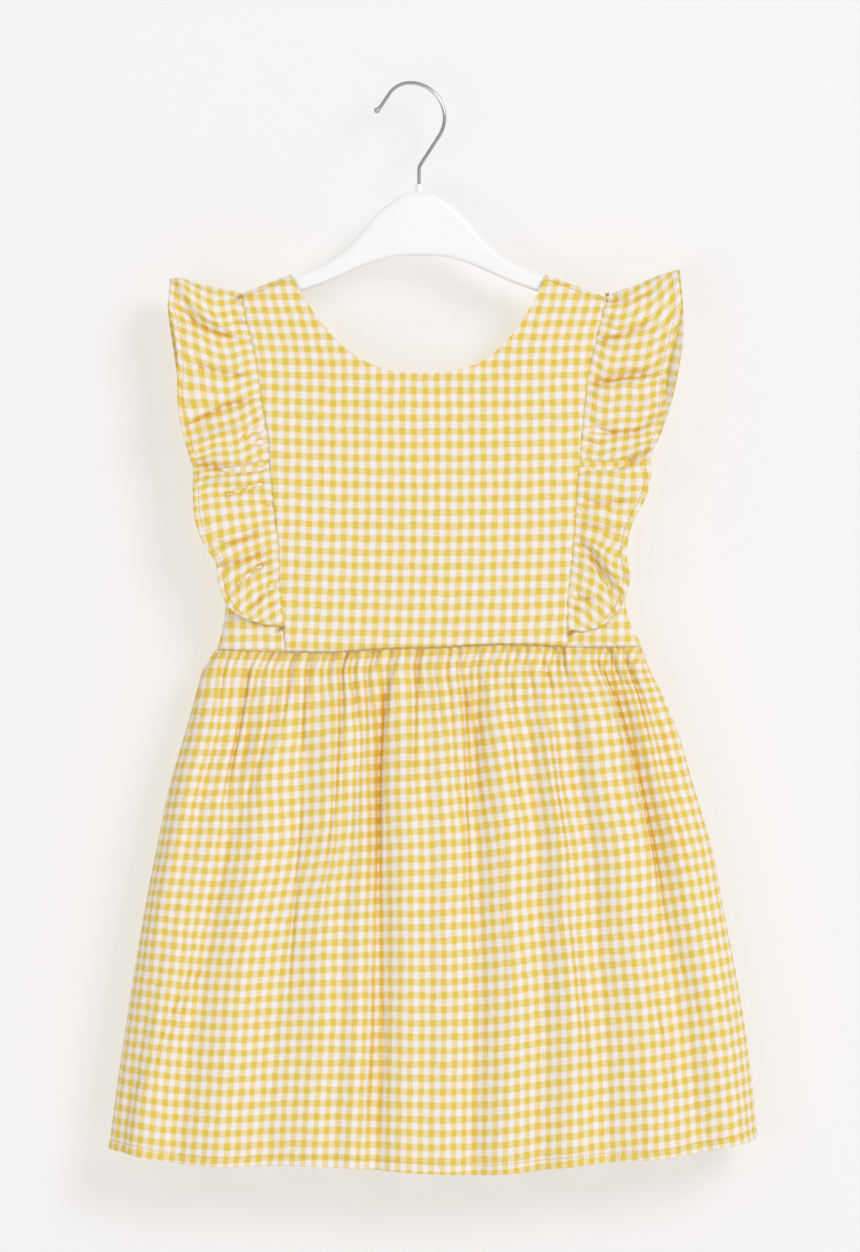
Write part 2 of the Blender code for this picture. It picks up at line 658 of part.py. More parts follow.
def hook_route():
    """The wire's centre line: the open end, the bend over the rail, the slant and the stem."""
    nose = hook_nose()
    centre = (0.0, HOOK_WIRE - HOOK_BEND)
    points = nose[:-1] + arc(centre, HOOK_BEND, 90, HOOK_SLANT_ANGLE, 13)
    slant = np.radians(HOOK_SLANT_ANGLE)
    lean = np.pi / 2 + slant
    start = np.array((points[-1][0], points[-1][2]))
    way = np.array((np.sin(slant), -np.cos(slant)))
    run = (start[0] - HANGER_MIDDLE) / -way[0]
    corner = start + way * run
    setback = HOOK_STEM_BEND * np.tan((np.pi / 2 - lean) / 2)
    bend_end = corner - np.array((0.0, setback))
    bend_centre = (bend_end[0] + HOOK_STEM_BEND, bend_end[1])
    turn = np.degrees(np.pi / 2 - lean)
    points += arc(bend_centre, HOOK_STEM_BEND, 180 - turn, 180, 5)
    points.append((HANGER_MIDDLE, 0.0, -HOOK_STEM_END))
    tip = np.array(points[0])
    inward = np.array(points[1]) - tip
    ball, swell = hook_ball(tip, inward / np.linalg.norm(inward))
    return ball + points[HOOK_BALL["covers"] :], swell


def add_closure(material, cord, collection):
    """The button on the left back panel, and the loop of the right one round its shank."""
    x = BUTTON["x"]
    drop = BUTTON["drop"]
    skin = float(wall_depth(x, drop)) + 1.5 * GAP
    profile = (
        (BUTTON["shank"], BUTTON["stand"]),
        (BUTTON["radius"] - 0.7, BUTTON["stand"]),
        (BUTTON["radius"], BUTTON["stand"] + 0.7),
        (BUTTON["radius"], BUTTON["stand"] + BUTTON["thick"] - 0.6),
        (BUTTON["radius"] - 0.6, BUTTON["stand"] + BUTTON["thick"]),
        (BUTTON["radius"] - 1.6, BUTTON["stand"] + BUTTON["thick"]),
        (BUTTON["radius"] - 2.1, BUTTON["stand"] + BUTTON["thick"] - 0.5),
        (0.0, BUTTON["stand"] + BUTTON["thick"] - 0.5),
    )
    outline = ((0.0, 0.0), (BUTTON["shank"], 0.0), *profile)
    mesh = bpy.data.meshes.new("back_button")
    vertices = [(radius * METRES, 0, height * METRES) for radius, height in reversed(outline)]
    mesh.from_pydata(vertices, [(i, i + 1) for i in range(len(vertices) - 1)], [])
    made = add_object("back_button", mesh, material, collection)
    turned = made.modifiers.new("Turned", "SCREW")
    turned.steps = 16
    turned.render_steps = 16
    turned.use_merge_vertices = True
    turned.merge_threshold = 0.00005
    made.rotation_euler = (-np.pi / 2, 0, 0)
    made.location = (x * METRES, skin * METRES, -drop * METRES)
    height = skin + LOOP["wire"] + GAP / 2
    bend = arc((x, -drop), LOOP["bend"], 90, 270, 9)
    route = [(x + LOOP["reach"], height, -drop + LOOP["bend"])]
    route += [(place[0], height, place[2]) for place in bend]
    route.append((x + LOOP["reach"], height, -drop - LOOP["bend"]))
    add_wire("button_loop", route, LOOP["wire"], cord, collection)


def main():
    for old in list(bpy.data.objects):
        bpy.data.objects.remove(old)
    parts = bpy.data.collections.new("Checked dress on hanger")
    cutters = bpy.data.collections.new("Cutters")
    bpy.context.scene.collection.children.link(parts)
    bpy.context.scene.collection.children.link(cutters)
    cloth = make_material("yellow checked cotton", (0.83, 0.62, 0.18), 0.85)
    plastic = make_material("white plastic", (0.9, 0.9, 0.9), 0.35)
    steel = make_material("bright steel", (0.8, 0.8, 0.8), 0.15, 1.0)
    shell = make_material("button", (0.9, 0.87, 0.78), 0.3)
    add_bodice(cloth, parts)
    add_sheet("skirt_front", skirt_panel(-1, FRONT_FOLDS), cloth, parts, True)
    add_sheet("skirt_back", skirt_panel(1, BACK_FOLDS), cloth, parts, False)
    for hand, name in ((-1, "ruffle_left"), (1, "ruffle_right")):
        add_sheet(name, ruffle(hand), cloth, parts, hand > 0)
    add_closure(shell, cloth, parts)
    add_hanger(plastic, parts, cutters)
    route, swell = hook_route()
    add_wire("hanger_hook", route, HOOK_WIRE, steel, parts, swell)


main()
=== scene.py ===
"""The looks of a child's gingham dress on its hanger.

Tables and sizes are in millimetres. A height is given as its drop below the origin, which is
the highest point inside the bend of the hook. X runs across the dress and -Y is its front.
"""

import math

import bmesh
import bpy
import numpy as np
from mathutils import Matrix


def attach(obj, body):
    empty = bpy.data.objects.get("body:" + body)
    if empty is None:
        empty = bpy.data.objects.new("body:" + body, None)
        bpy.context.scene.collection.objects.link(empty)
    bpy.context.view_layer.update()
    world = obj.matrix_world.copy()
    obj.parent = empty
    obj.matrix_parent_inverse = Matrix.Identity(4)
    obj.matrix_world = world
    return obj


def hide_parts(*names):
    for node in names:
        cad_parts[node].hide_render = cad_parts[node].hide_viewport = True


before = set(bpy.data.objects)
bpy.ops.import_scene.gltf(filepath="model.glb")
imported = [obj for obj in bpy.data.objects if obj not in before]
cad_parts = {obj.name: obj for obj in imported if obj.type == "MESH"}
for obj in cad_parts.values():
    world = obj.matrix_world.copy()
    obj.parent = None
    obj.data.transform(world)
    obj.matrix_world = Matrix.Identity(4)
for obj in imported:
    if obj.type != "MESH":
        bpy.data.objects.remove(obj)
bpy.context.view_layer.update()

METRES = 0.001
SHELL = 0.5  # thickness of the cloth
GAP = 0.3  # between pieces that are sewn together
HANDS = {-1: "left", 1: "right"}

# Sizes shared with the solids.

# The garment's body: drop, place of the left and of the right outline, half its depth.
BODY = np.array((
    (128, -180, 190, 7.8), (200, -170, 180, 8.2), (262, -138.7, 153.7, 8.8), (323, -129.9, 146.5, 9.2),
    (364, -126.5, 149, 9.5), (384, -132, 158.5, 9.8), (395, -139.4, 161.8, 10.6),
    (415, -145.5, 172, 12), (435, -151, 180.2, 13.2), (476, -163.2, 192.4, 15.5),
    (517, -172, 204.7, 17.6), (558, -180.2, 212.8, 19.4), (599, -187, 221, 21),
    (639, -193.1, 227.8, 22.5), (680, -199.2, 232.6, 23.8), (721, -204.7, 236.6, 25),
    (742, -207.5, 238.5, 25.5),
))
BODY_LEFT, BODY_RIGHT, BODY_DEPTH = 1, 2, 3
SIDE_TURN = 1.5  # how wide the sides turn, in half depths
EDGE_STAND = 0.6

# Seams beside the centre panel: drop, place of the left and of the right one.
PANEL_SEAM = np.array((
    (140, -115.6, 135), (160, -111.8, 130.4), (185, -105.4, 123.8), (217, -101, 119),
    (235, -97.2, 117.3), (270, -94.5, 114.2), (318, -89.3, 110.8), (350, -88, 107.6), (386, -84.3, 107),
))
SEAM_LEFT, SEAM_RIGHT = 1, 2
# The waist seam and the hem: part across, drop.
WAIST = np.array((
    (0, 383.9), (0.27, 385.6), (0.42, 383.2), (0.52, 382.6), (0.66, 380.6), (0.82, 382), (1, 381.7),
))
HEM = np.array((
    (0, 722.5), (0.05, 724.8), (0.11, 729.8), (0.18, 733), (0.295, 732.6), (0.42, 735.5), (0.51, 738.4),
    (0.585, 738.6), (0.675, 734.6), (0.77, 730.2), (0.84, 727.4), (0.91, 721.8), (0.97, 717),
    (1, 714.8),
))
WAIST_LEVEL = 384.0
SEAM_TOP = {"left": 143.0, "right": 145.0}
NECK_CENTRE = 5.8
NECK_HALF_WIDTH = 86.7
NECK_TOP = 128.7
FRONT_NECK = {"deep": 67.3, "left_power": 2.5, "right_power": 3.1}
BACK_NECK = {"deep": 72.0, "left_power": 2.9, "right_power": 3.5}
SHOULDER_SLOPE = 0.39
SHOULDER_ROLL = 7.5
ARMHOLE_AT_SEAM = 214.0
ARMHOLE_AT_SIDE = 262.0
SEAM_LAP = 1.5

# Free edges of the ruffles: drop of the seam beside, then the edge's place and drop.
RUFFLE_LEFT = np.array((
    (152, -165.5, 150), (168, -163, 171), (190, -159.2, 196), (215, -157, 223), (236, -151.5, 247),
    (250, -147.3, 260), (268, -147.3, 277), (290, -145.4, 298), (308, -139, 314), (322, -131.8, 325),
    (338, -130.2, 338), (349, -126, 350), (357, -119.5, 358.5), (363, -110, 363.5), (369, -98, 367),
))
RUFFLE_RIGHT = np.array((
    (152, 186.5, 150), (170, 186.6, 171), (190, 183.6, 192), (214, 178.4, 216), (236, 170.8, 238),
    (250, 164.4, 252), (264, 163.8, 266), (280, 160, 281), (298, 150.8, 299), (316, 147, 318),
    (336, 149, 337), (350, 145.4, 350), (360, 139.4, 360), (367, 130, 368), (373, 119, 371.6),
))
RUFFLES = {"left": RUFFLE_LEFT, "right": RUFFLE_RIGHT}
RUFFLE_TOP = {"left": (-163.8, 134.8), "right": (184.3, 128.4)}
RUFFLE_ROLL = 11.8
RUFFLE_EDGE_DEPTH = 9.5
RUFFLE_BOW = 1.5
# Waves of the ruffles: distance along at the seam and at the edge, rise, width.
RUFFLE_WAVES = {
    "left": (
        (-214, -214, 3, 9), (-196, -190, -1.2, 6), (-182, -174, 4.2, 10), (-158, -150, 3, 14),
        (-131, -127, -1.4, 5), (-114, -112, 4.6, 10), (-92, -98, -1.4, 5), (-76, -78, 4, 12),
        (-51, -52, -1, 6), (-36, -30, 4, 11), (0, 0, 1.5, 10), (30, 34, 4.2, 12), (62, 66, 3.6, 11),
        (96, 92, 4.4, 12), (128, 132, 3.4, 13), (164, 158, 4.4, 11), (198, 196, 3.8, 10),
    ),
    "right": (
        (-214, -212, 3.4, 9), (-200, -194, -1.4, 6), (-181, -190, 4.4, 9), (-158, -160, 3.2, 11),
        (-134, -134, 3.4, 10), (-117, -112, -1.4, 5), (-98, -96, 4.4, 10), (-74, -70, 3.6, 10),
        (-57, -52, -1.4, 5), (-38, -32, 4, 11), (0, 0, 1.5, 10), (33, 30, 4.2, 11), (66, 70, 3.8, 12),
        (98, 104, 4.2, 11), (134, 130, 3.6, 12), (166, 170, 4.2, 11), (200, 198, 3.6, 10),
    ),
}

SKIRT_LENGTH = 350.0
FOLD_START = 80.0
# Folds of the skirt: part across at the waist and at the hem, rise, width.
FRONT_FOLDS = (
    (0.05, 0.075, 4, 0.026), (0.105, 0.04, -2.4, 0.014), (0.15, 0.125, -3, 0.016),
    (0.205, 0.185, 4.2, 0.03), (0.262, 0.255, -1.8, 0.018), (0.315, 0.325, 3.6, 0.028),
    (0.372, 0.382, 3.8, 0.016), (0.407, 0.416, -4.6, 0.016), (0.455, 0.462, 4, 0.028),
    (0.525, 0.51, 3.2, 0.024), (0.586, 0.556, -4, 0.015), (0.64, 0.603, 4, 0.024),
    (0.7, 0.652, -2.8, 0.016), (0.735, 0.7, 3.8, 0.022), (0.775, 0.752, -3, 0.016),
    (0.815, 0.82, 4, 0.028), (0.85, 0.89, -3.4, 0.016), (0.905, 0.94, 3.6, 0.022),
)
BACK_FOLDS = (
    (0.06, 0.055, 3.8, 0.026), (0.115, 0.11, -3, 0.016), (0.17, 0.175, 4.2, 0.03),
    (0.235, 0.245, -3.4, 0.018), (0.295, 0.31, 4, 0.026), (0.35, 0.37, -2.6, 0.016),
    (0.41, 0.425, 3.8, 0.028), (0.47, 0.48, -4.2, 0.016), (0.53, 0.535, 4.2, 0.026),
    (0.59, 0.6, -3, 0.016), (0.65, 0.665, 3.8, 0.028), (0.715, 0.73, -3.6, 0.018),
    (0.775, 0.79, 4, 0.026), (0.84, 0.85, -3, 0.016), (0.9, 0.915, 3.8, 0.026),
)

HANGER_MIDDLE = 6.1
# The hanger: distance from its middle, drop of its upper and of its lower edge.
HANGER = np.array((
    (0, 73, 116.5), (9, 73.8, 116.5), (18, 79, 117.2), (27, 86.4, 119.5), (36, 96.8, 122.5),
    (45, 107.2, 126.4), (55, 116, 131), (65, 122.5, 135), (76, 127.4, 139), (87, 131.3, 143),
    (105, 138.8, 150.4), (125, 147, 158.5), (142, 154.2, 165), (149, 158.6, 165),
))
HANGER_THICKNESS = 11.0
# Radius and drop down the outside of the neck, over its top and back down inside.
HANGER_NECK = ((2.6, 80), (2.6, 74.6), (2.5, 71), (2.3, 68.1), (2.1, 67.6), (1.4, 67.6), (1.4, 80))
HANGER_ROUNDING = 0.45
HOOK_WIRE = 1.3
HOOK_BEND = 23.5
HOOK_NOSE_BEND = 17.0
HOOK_NOSE_TURN = 56.0
HOOK_NOSE = 9.4
HOOK_LIP_BEND = 14.0
HOOK_LIP_TURN = 28.0
LIP_POINTS = 20
HOOK_BALL = {"radius": 2.1, "steps": 24}
HOOK_SLANT_ANGLE = -33.0
HOOK_STEM_BEND = 7.0
HOOK_STEM_END = 85.0

# Sizes of the cloth.

CHECK_WIDE = 7.9
CHECK_TALL = 9.15
CHECK_PHASE = (0.33, -0.16)
CHECK_UNEVEN = 0.0022  # how far, in metres, the checks stray
THREAD_PAIR = 0.56
BODICE_CHECK_SHIFT = (2.6, 3.2)
BODICE_CHECK_WIDER = 1.0056
BODICE_DRIFT = (265.0, 0.00026)  # below what drop the checks drift to the side, and how fast
BODICE_SAG = (15.0, 0.00022)  # from what place they rise to the sides, and how fast
CHECK_LEAN = np.array((
    (125, 13.4, -12.6), (145, 8.8, -8), (155, 6.5, -5.8), (165, 4.3, -3.6), (175, 2.3, -1.7),
    (185, 0.8, -0.6), (198, 0, 0), (215, 0, 0),
))
BODICE_GRID = (12, 84, 84)  # columns on a strap and round the neck, rows
SLACK_RISE = 0.16
# How deep and how wide edges turn in and stitched lines lie.
ROLLS = {
    "edge": (0.3, 1.0), "seam": (0.35, 0.9), "strap": (0.35, 0.55), "side": (0.3, 1.2),
    "waist": (1.1, 1.5), "hem": (0.5, 1.2), "ruffle_seam": (1.3, 1.5), "ruffle_hem": (0.35, 0.9),
}
STRAP_GROOVE = 4.2  # drop below the shoulder
SIDE_COLUMNS = 34
SIDE_ROWS = 60
SIDE_INSET = 0.8  # how far the side panels lie inside the seam
SKIRT_TUCK = 1.2  # how far the skirt's top edge runs up behind the bodice
RUFFLE_TUCK = 1.4
SKIRT_CUT = (505.0, 352.0)
SKIRT_CHECK_SHIFT = 5.9
RUFFLE_CUT = (62.0, 610.0)
HEM_DEEP = 6.5
RUFFLE_HEM_DEEP = 4.0
SKIRT_COLUMNS = 510
RUFFLE_COLUMNS = 560
RUFFLE_ROWS = 44
SKIRT_MAIN_ROWS = 338.0 * np.linspace(0, 1, 80) ** 1.25
HEM_ROWS = (9.6, 8.0, 7.2, 6.5, 5.8, 5.0, 3.6, 1.8, 0.6, 0.0)  # heights above the hem's edge
SKIRT_ROWS = np.concatenate((SKIRT_MAIN_ROWS, SKIRT_LENGTH - np.array(HEM_ROWS)))
STRAP_STITCH = 3.6
# Length, gap and width of a row's stitches.
STITCH = (2.7, 0.6, 0.42)
WAIST_STITCH = (1.9, 0.25, 0.75)
TACK_STITCH = (1.3, 0.1, 0.62)
# Part along a stitch and how high it stands there, in stitch widths.
STITCH_PROFILE = ((-0.5, -0.6), (-0.3, 0.55), (0.0, 0.8), (0.3, 0.55), (0.5, -0.6))
# Bar tacks at the ends of the ruffles: place across, drop, half width.
TACKS = (
    (-115, 144.6, 2), (134.4, 143.2, 2), (-86.6, 369.6, 2.4), (109.6, 372.4, 2.2),
)

# Creases of the front skirt, each down its length: rise, width on its left, width on its
# right, then its points as place across and drop.
SKIRT_CREASES = (
    (-2.2, 1.4, 1.4, ((-124.4, 386), (-128.5, 412.3), (-134.6, 437.2))),
    (-3.4, 3.4, 1.5, ((-109.5, 384), (-110.2, 404.8), (-113.6, 426.6), (-119.7, 457.2),
      (-127.8, 496.6))),
    (2.6, 7, 1.8, ((-94.5, 396.1), (-100.6, 439.5), (-111.5, 474.8), (-123.1, 506.8), (-136.6, 552.2))),
    (-1.8, 1.5, 3, ((-90.5, 400.1), (-96.6, 439.5), (-107.5, 474.8), (-118.1, 506.8))),
    (-1.8, 1.3, 1.3, ((-79.6, 396.2), (-86.4, 430), (-95.2, 462.4))),
    (-3.2, 1.5, 1.5, ((-67.3, 384.5), (-70, 406.2), (-72.1, 434.7), (-70.7, 470.2))),
    (-2.3, 1.2, 1.2, ((-49, 384.2), (-48.3, 432), (-49.6, 474.2), (-54.4, 513.6), (-59.8, 575.5))),
    (-1.5, 1, 1.4, ((-45, 454.2), (-46.6, 484.2), (-50.4, 523.6), (-54.8, 560.5))),
    (-3, 1.3, 1.3, ((-33, 384.5), (-38.1, 400.7), (-35, 434.7), (-35.5, 452))),
    (-3.6, 9, 1.5, ((-10.9, 384.8), (-16.3, 417), (-19.7, 449), (-21.1, 500), (-21.8, 572.8))),
    (3.2, 1.3, 7, ((-7.4, 384.8), (-12.8, 417), (-16.4, 449), (-17.8, 500), (-18.5, 572.8))),
    (-1.1, 3, 1.6, ((-21.8, 527.8), (-20.4, 622.4), (-24.5, 676.8), (-25.2, 724.4))),
    (-2.4, 1.2, 1.2, ((5.4, 384.5), (4.8, 411.6), (3.4, 439.5), (0.4, 497.6))),
    (-2.8, 1.6, 1.6, ((38.1, 384.8), (38.8, 459.2), (39.4, 523.1), (43.5, 584.8))),
    (-1.4, 2.4, 5, ((46.6, 398.8), (45.9, 425.2), (47.2, 459))),
    (-1.8, 1.4, 1.4, ((67.4, 388.4), (71.4, 452.4), (73.4, 486.4), (75.1, 529.5))),
    (-2.8, 1.3, 1.3, ((89.1, 384.8), (93.8, 401.4), (100.6, 419.7))),
    (-2, 1.2, 1.2, ((92.8, 414.5), (97.2, 459.2), (102, 496.6), (108.8, 552.8))),
    (-1.4, 1.2, 1.2, ((97.4, 430.5), (101.8, 465.2), (106.6, 502.6), (112.8, 546.8))),
    (3.6, 8, 1.4, ((115.6, 383.8), (129.9, 402.1), (140.8, 432), (153, 476.2), (163.9, 534),
      (172, 586.8))),
    (-4.2, 1.3, 9, ((119.1, 383.8), (133.4, 402.1), (144.3, 432), (156.5, 476.2), (167.4, 534),
      (175, 576.8))),
    (-3.6, 1.5, 3, ((142.8, 381.8), (150.3, 399.4), (157.8, 425.9), (164.2, 466.2))),
    (-1.8, 3.5, 5, ((163.6, 418.6), (170, 462.6), (176.4, 507.3))),
    (-1.2, 2.4, 4, ((175.8, 575.2), (200.6, 642.8), (221, 680.2), (234, 708.1))),
    (-1.7, 1.3, 1.3, ((-140.8, 585.2), (-161.8, 632.6), (-178.2, 666.6), (-196.5, 705.8))),
    (-1.4, 1.2, 1.2, ((-136.2, 588.2), (-157.4, 635.6), (-174, 669.6), (-190.5, 702.8))),
    (-1.5, 1.1, 1.1, ((-26, 590), (-24.6, 640), (-28, 690), (-28.8, 730))),
    (-1.4, 1.1, 1.1, ((-18.4, 610), (-17.6, 650), (-20.4, 696), (-21, 730))),
    (-1.6, 1.2, 1.2, ((-72.8, 480), (-76, 530), (-80.2, 590), (-84, 640))),
    (-1.4, 1.2, 1.2, ((106, 560), (112.4, 610), (117, 660), (122, 705))),
    (-1.3, 1.1, 1.1, ((111, 575), (117, 622), (121.6, 668), (126, 700))),
    (-1.5, 1.2, 1.2, ((62, 500), (63.8, 560), (66, 620), (68, 690))),
    (-1.3, 1.1, 1.4, ((160, 600), (170, 640), (179, 680), (187, 712))),
)
# Bands of painted shade, most of them beside the skirt's laps: how dark from 0 to 1, then as above.
SKIRT_SHADES = (
    (0.5, 8.5, 0.8, ((-13, 392), (-17.5, 417), (-20.5, 449), (-21.6, 500), (-22.4, 585))),
    (0.42, 0.8, 11, ((122, 388), (134, 404), (145, 433), (157, 476.2), (169, 534), (178, 600))),
    (0.3, 2, 4, ((46.6, 398.8), (46.2, 425.2), (47.6, 460), (48, 520))),
    (0.3, 2.5, 3.5, ((170, 425), (176, 470), (184, 520), (190, 560))),
    (0.3, 3, 1.2, ((-103, 398), (-108, 440), (-120, 480), (-130, 515))),
)
# Painted shade of a crease's narrow line, per mm of the crease's depth, and that line's width, over which a
# skirt crease also takes up cloth.
CREASE_SHADE = {"skirt": 0.12, "ruffle": 0.24}  # how deep a crease of 1 mm looks
CREASE_LINE = 1.15  # width of a crease's deep line
CREASE_HIDES = 1.5  # how much cloth a crease takes up
CREASE_WIDER = 1.2  # the skirt's creases are this much wider than stated
SKIRT_RELIEF = 0.85
RUFFLE_RELIEF = 1.45
DEEPEST = 4.0  # most cloth that a trough takes up
# Painted shade in the hollows of gathered cloth: how often the surface is smoothed to find them, from what
# depth the shade starts, over what depth it grows, and its most.
HOLLOW_REACH = {"ruffle": 22, "skirt": 30}
HOLLOW_FROM = 0.15
HOLLOW_OVER = 2.8
HOLLOW_MOST = 0.5
# Painted shade on the skirts, strongest at the waist and fading below it.
WAIST_PAINTED_SHADE = 0.12
WAIST_REACH = 60.0
WAIST_PUFF = 1.2  # how far the cloth puffs out below the waist
SIDE_CALM = 0.02  # part across without folds at the sides
# Creases of the ruffles in front, each from its left end to its right: rise, width above it,
# width below it, then its points.
RUFFLE_CREASES = {
    "left": (
        (2.2, 5, 1.4, ((-161.8, 133.5), (-148.2, 149.8), (-134.6, 161.4), (-108.2, 172.6))),
        (-2.4, 1.4, 4, ((-157.8, 150.9), (-139.4, 165.5), (-106.8, 177))),
        (-1.8, 1.8, 1.4, ((-150.9, 190.6), (-125.8, 196.7), (-99.6, 199.4))),
        (-3.4, 1.3, 4.5, ((-156.3, 235.4), (-139.4, 226), (-124.4, 218.5), (-97.6, 213))),
        (2.2, 3, 1.6, ((-154, 249.7), (-123.1, 232.8), (-95.9, 225.3))),
        (-4.2, 4, 1.5, ((-150.2, 255.6), (-132.6, 261.3), (-115.6, 262.7), (-93.2, 260.6))),
        (1.8, 1.5, 4, ((-148.2, 260.6), (-132.6, 266.3), (-115.6, 267.2), (-97.2, 265.6))),
        (-2.2, 1.5, 2, ((-129.8, 280.7), (-108.8, 274.2), (-91.8, 268.5))),
        (-1.8, 1.6, 2.4, ((-141.4, 313), (-119, 311), (-103.4, 304.2), (-88.4, 295))),
        (-2.8, 1.3, 3, ((-133.9, 329.6), (-108.8, 321.8), (-87.8, 311.7))),
        (-2.2, 1.4, 1.8, ((-125.8, 347), (-108.8, 332.7), (-86.4, 316.4))),
        (-1.6, 1.4, 1.8, ((-110.8, 360.6), (-96.6, 343.6), (-84.7, 331.4))),
    ),
    "right": (
        (-1.6, 1.6, 1.6, ((128.9, 147.4), (149.6, 146.4), (174.7, 138.6))),
        (-2.2, 1.6, 1.6, ((126.2, 174.9), (146.2, 169.5), (167.2, 158.4))),
        (-3.4, 4, 1.3, ((120.4, 205.2), (146.2, 199.4), (174.4, 196.7))),
        (1.8, 1.3, 4, ((122.4, 209.7), (146.2, 204), (171.4, 201.2))),
        (-2.4, 2, 2, ((118.7, 231.5), (137.4, 236.9), (153, 235.5), (164.6, 226.7), (176.4, 212.8))),
        (-3.8, 3, 1.4, ((115.3, 257.6), (133.3, 260), (148.2, 257.2), (166.6, 245))),
        (1.6, 1.3, 4, ((117.3, 262.6), (133.3, 264.8), (148.2, 262.2), (162.6, 256))),
        (-1.8, 1.6, 2, ((115, 281.4), (132.6, 285.8), (153, 280.4))),
        (-1.6, 1.6, 2, ((112, 297.4), (130.6, 301.8), (151, 301.4))),
        (3, 5, 1.4, ((113.9, 306.3), (125.4, 314.4), (134.6, 327.4), (143.4, 341), (150.2, 345.7))),
        (-4.2, 1.4, 5, ((110.9, 310.3), (121.4, 319.4), (129.6, 332.4), (138.4, 346), (147.2, 349.7))),
        (-2.4, 1.4, 1.8, ((107.8, 345.3), (117, 349.4), (128.5, 349.4))),
    ),
}
BACK_RELIEF = 0.9  # the same creases behind: how high, and how much higher up they lie
BACK_HIGHER = 5.0
GATHER_OPENS = 5.0  # how far below its seam a gather has opened
GATHER_WIDTH = (0.9, 2.2)
WAIST_FLARES = 16.0  # how far below the waist the skirt has flared out
# Where the front of a ruffle's free edge is turned in: how far, at what drop, how wide.
RUFFLE_TURNED = {"left": (3.2, 172.0, 20.0), "right": (8.5, 190.0, 34.0)}
# How the grain of the ruffles leans: distance along from the shoulder, the left and the right.
RUFFLE_GRAIN = np.array((
    (-230, 0.45, 0.5), (-208, 0.5, 0.5), (-180, 0.28, 0.5), (-162, 0.06, 0.25), (-140, -0.1, 0.1),
    (-122, 0, 0.02), (-110, 0.12, -0.1), (-98, 0.3, -0.02), (-85, 0.35, 0.1), (-67, 0.1, 0.16),
    (-46, -0.08, 0.16), (-25, -0.2, 0), (-8, -0.2, -0.25), (20, 0, -0.05), (60, 0.14, -0.1),
    (110, -0.16, 0.18), (160, 0.14, -0.16), (230, 0, 0),
))
RUFFLE_CHECK_SHIFT = -2.4
CHECK_FOLLOWS = 0.8  # how much the checks follow the cloth into its folds
CHECK_CALM = 40  # how often that is smoothed
CHECK_SHRINK = 0.92  # width of the skirt's checks between its creases
CHECK_TAKEN_UP = 0.75  # share of the spare width that shows in the creases near the sides
TAKEN_UP = {"sides": 0.6, "all": 0.4, "even": 0.07}
SKIRT_GRAIN = {"all": 0.03, "upper": 0.055}
# Short gathers at a ruffle's seam, and those of the skirt below the waist: how many along the
# seam, the least and most depth, the least and most length, the seed of their unevenness and
# how far they lean.
RUFFLE_GATHERS = (66, 1.2, 4.6, 7.0, 38.0, 11, 0.25)
FRONT_GATHERS = (50, 0.9, 4.6, 18.0, 170.0, 5, 0.04)
BACK_GATHERS = (52, 0.9, 4.6, 20.0, 190.0, 23, 0.04)
BACK_SPAN = 400.0  # a width across the back's creases is stated as a part of this
# Creases down the back skirt: part across at the waist, then at its lower end, rise, width,
# drop below the waist where it ends.
BACK_CREASES = (
    (0.085, 0.07, -2.6, 1.6, 150), (0.16, 0.15, -3.2, 1.8, 240), (0.255, 0.262, -2.2, 1.4, 170),
    (0.33, 0.345, -3.4, 1.7, 260), (0.425, 0.432, -2.4, 1.4, 140), (0.505, 0.5, -3.4, 1.8, 280),
    (0.585, 0.592, -2.2, 1.5, 160), (0.66, 0.672, -3.2, 1.7, 230), (0.745, 0.756, -2.4, 1.4, 150),
    (0.825, 0.84, -3.4, 1.8, 250), (0.915, 0.925, -2.6, 1.5, 140),
)

# Colours from 0 to 255, then the light and the camera in metres and watts.
YARN_YELLOW = (228, 199, 76)
YARN_HALF = (237, 218, 166)
YARN_WHITE = (240, 235, 233)
# Painted shade: the colour that the cloth is multiplied towards in its folds and creases.
PAINTED_FOLD_SHADE = (246, 214, 130)
WALL_PLACE = 0.033
WALL_TOP = 2.4
FLOOR_HEIGHT = -1.3
WALL_GLOW = 0.505
SKY = 0.56
LAMPS = (
    ("key", (2.3, -3.2, 1.5), 1.6, 75.0),
    ("fill", (-1.4, -2.6, -1.2), 1.8, 26.0),
    ("behind", (0.4, 2.4, 0.6), 1.8, 24.0),
)
LOOKED_AT = (0.0136, 0.0, -0.3681)
CAMERA_AWAY = 3.6
VIEW_TALL = 0.8514


# The garment's form.


def read(table, column, at):
    """A column's value at a place in the first column, on a smooth curve through the rows."""
    places, values = table[:, 0], table[:, column]
    slopes = np.gradient(values, places)
    at = np.clip(at, places[0], places[-1])
    row = np.clip(np.searchsorted(places, at) - 1, 0, len(places) - 2)
    step = places[row + 1] - places[row]
    t = (at - places[row]) / step
    low = (2 * t**3 - 3 * t**2 + 1) * values[row] + (t**3 - 2 * t**2 + t) * step * slopes[row]
    high = (3 * t**2 - 2 * t**3) * values[row + 1] + (t**3 - t**2) * step * slopes[row + 1]
    return low + high


def ease(t):
    t = np.clip(t, 0.0, 1.0)
    return t * t * (3 - 2 * t)


def hill(distance, width):
    return np.exp(-((distance / width) ** 2))


def unit(vectors):
    return vectors / np.maximum(np.linalg.norm(vectors, axis=-1, keepdims=True), 1e-9)


def body_sides(drop):
    """Places of the garment's left and right outline."""
    return read(BODY, BODY_LEFT, drop), read(BODY, BODY_RIGHT, drop)


def ridge(at, along, start, end, width):
    """Height from 0 to 1 of a fold whose middle moves from its start to its end."""
    return hill(at - (start + (end - start) * along), width)


def shoulder_drop(x):
    return NECK_TOP + SHOULDER_SLOPE * (np.abs(x - NECK_CENTRE) - NECK_HALF_WIDTH)


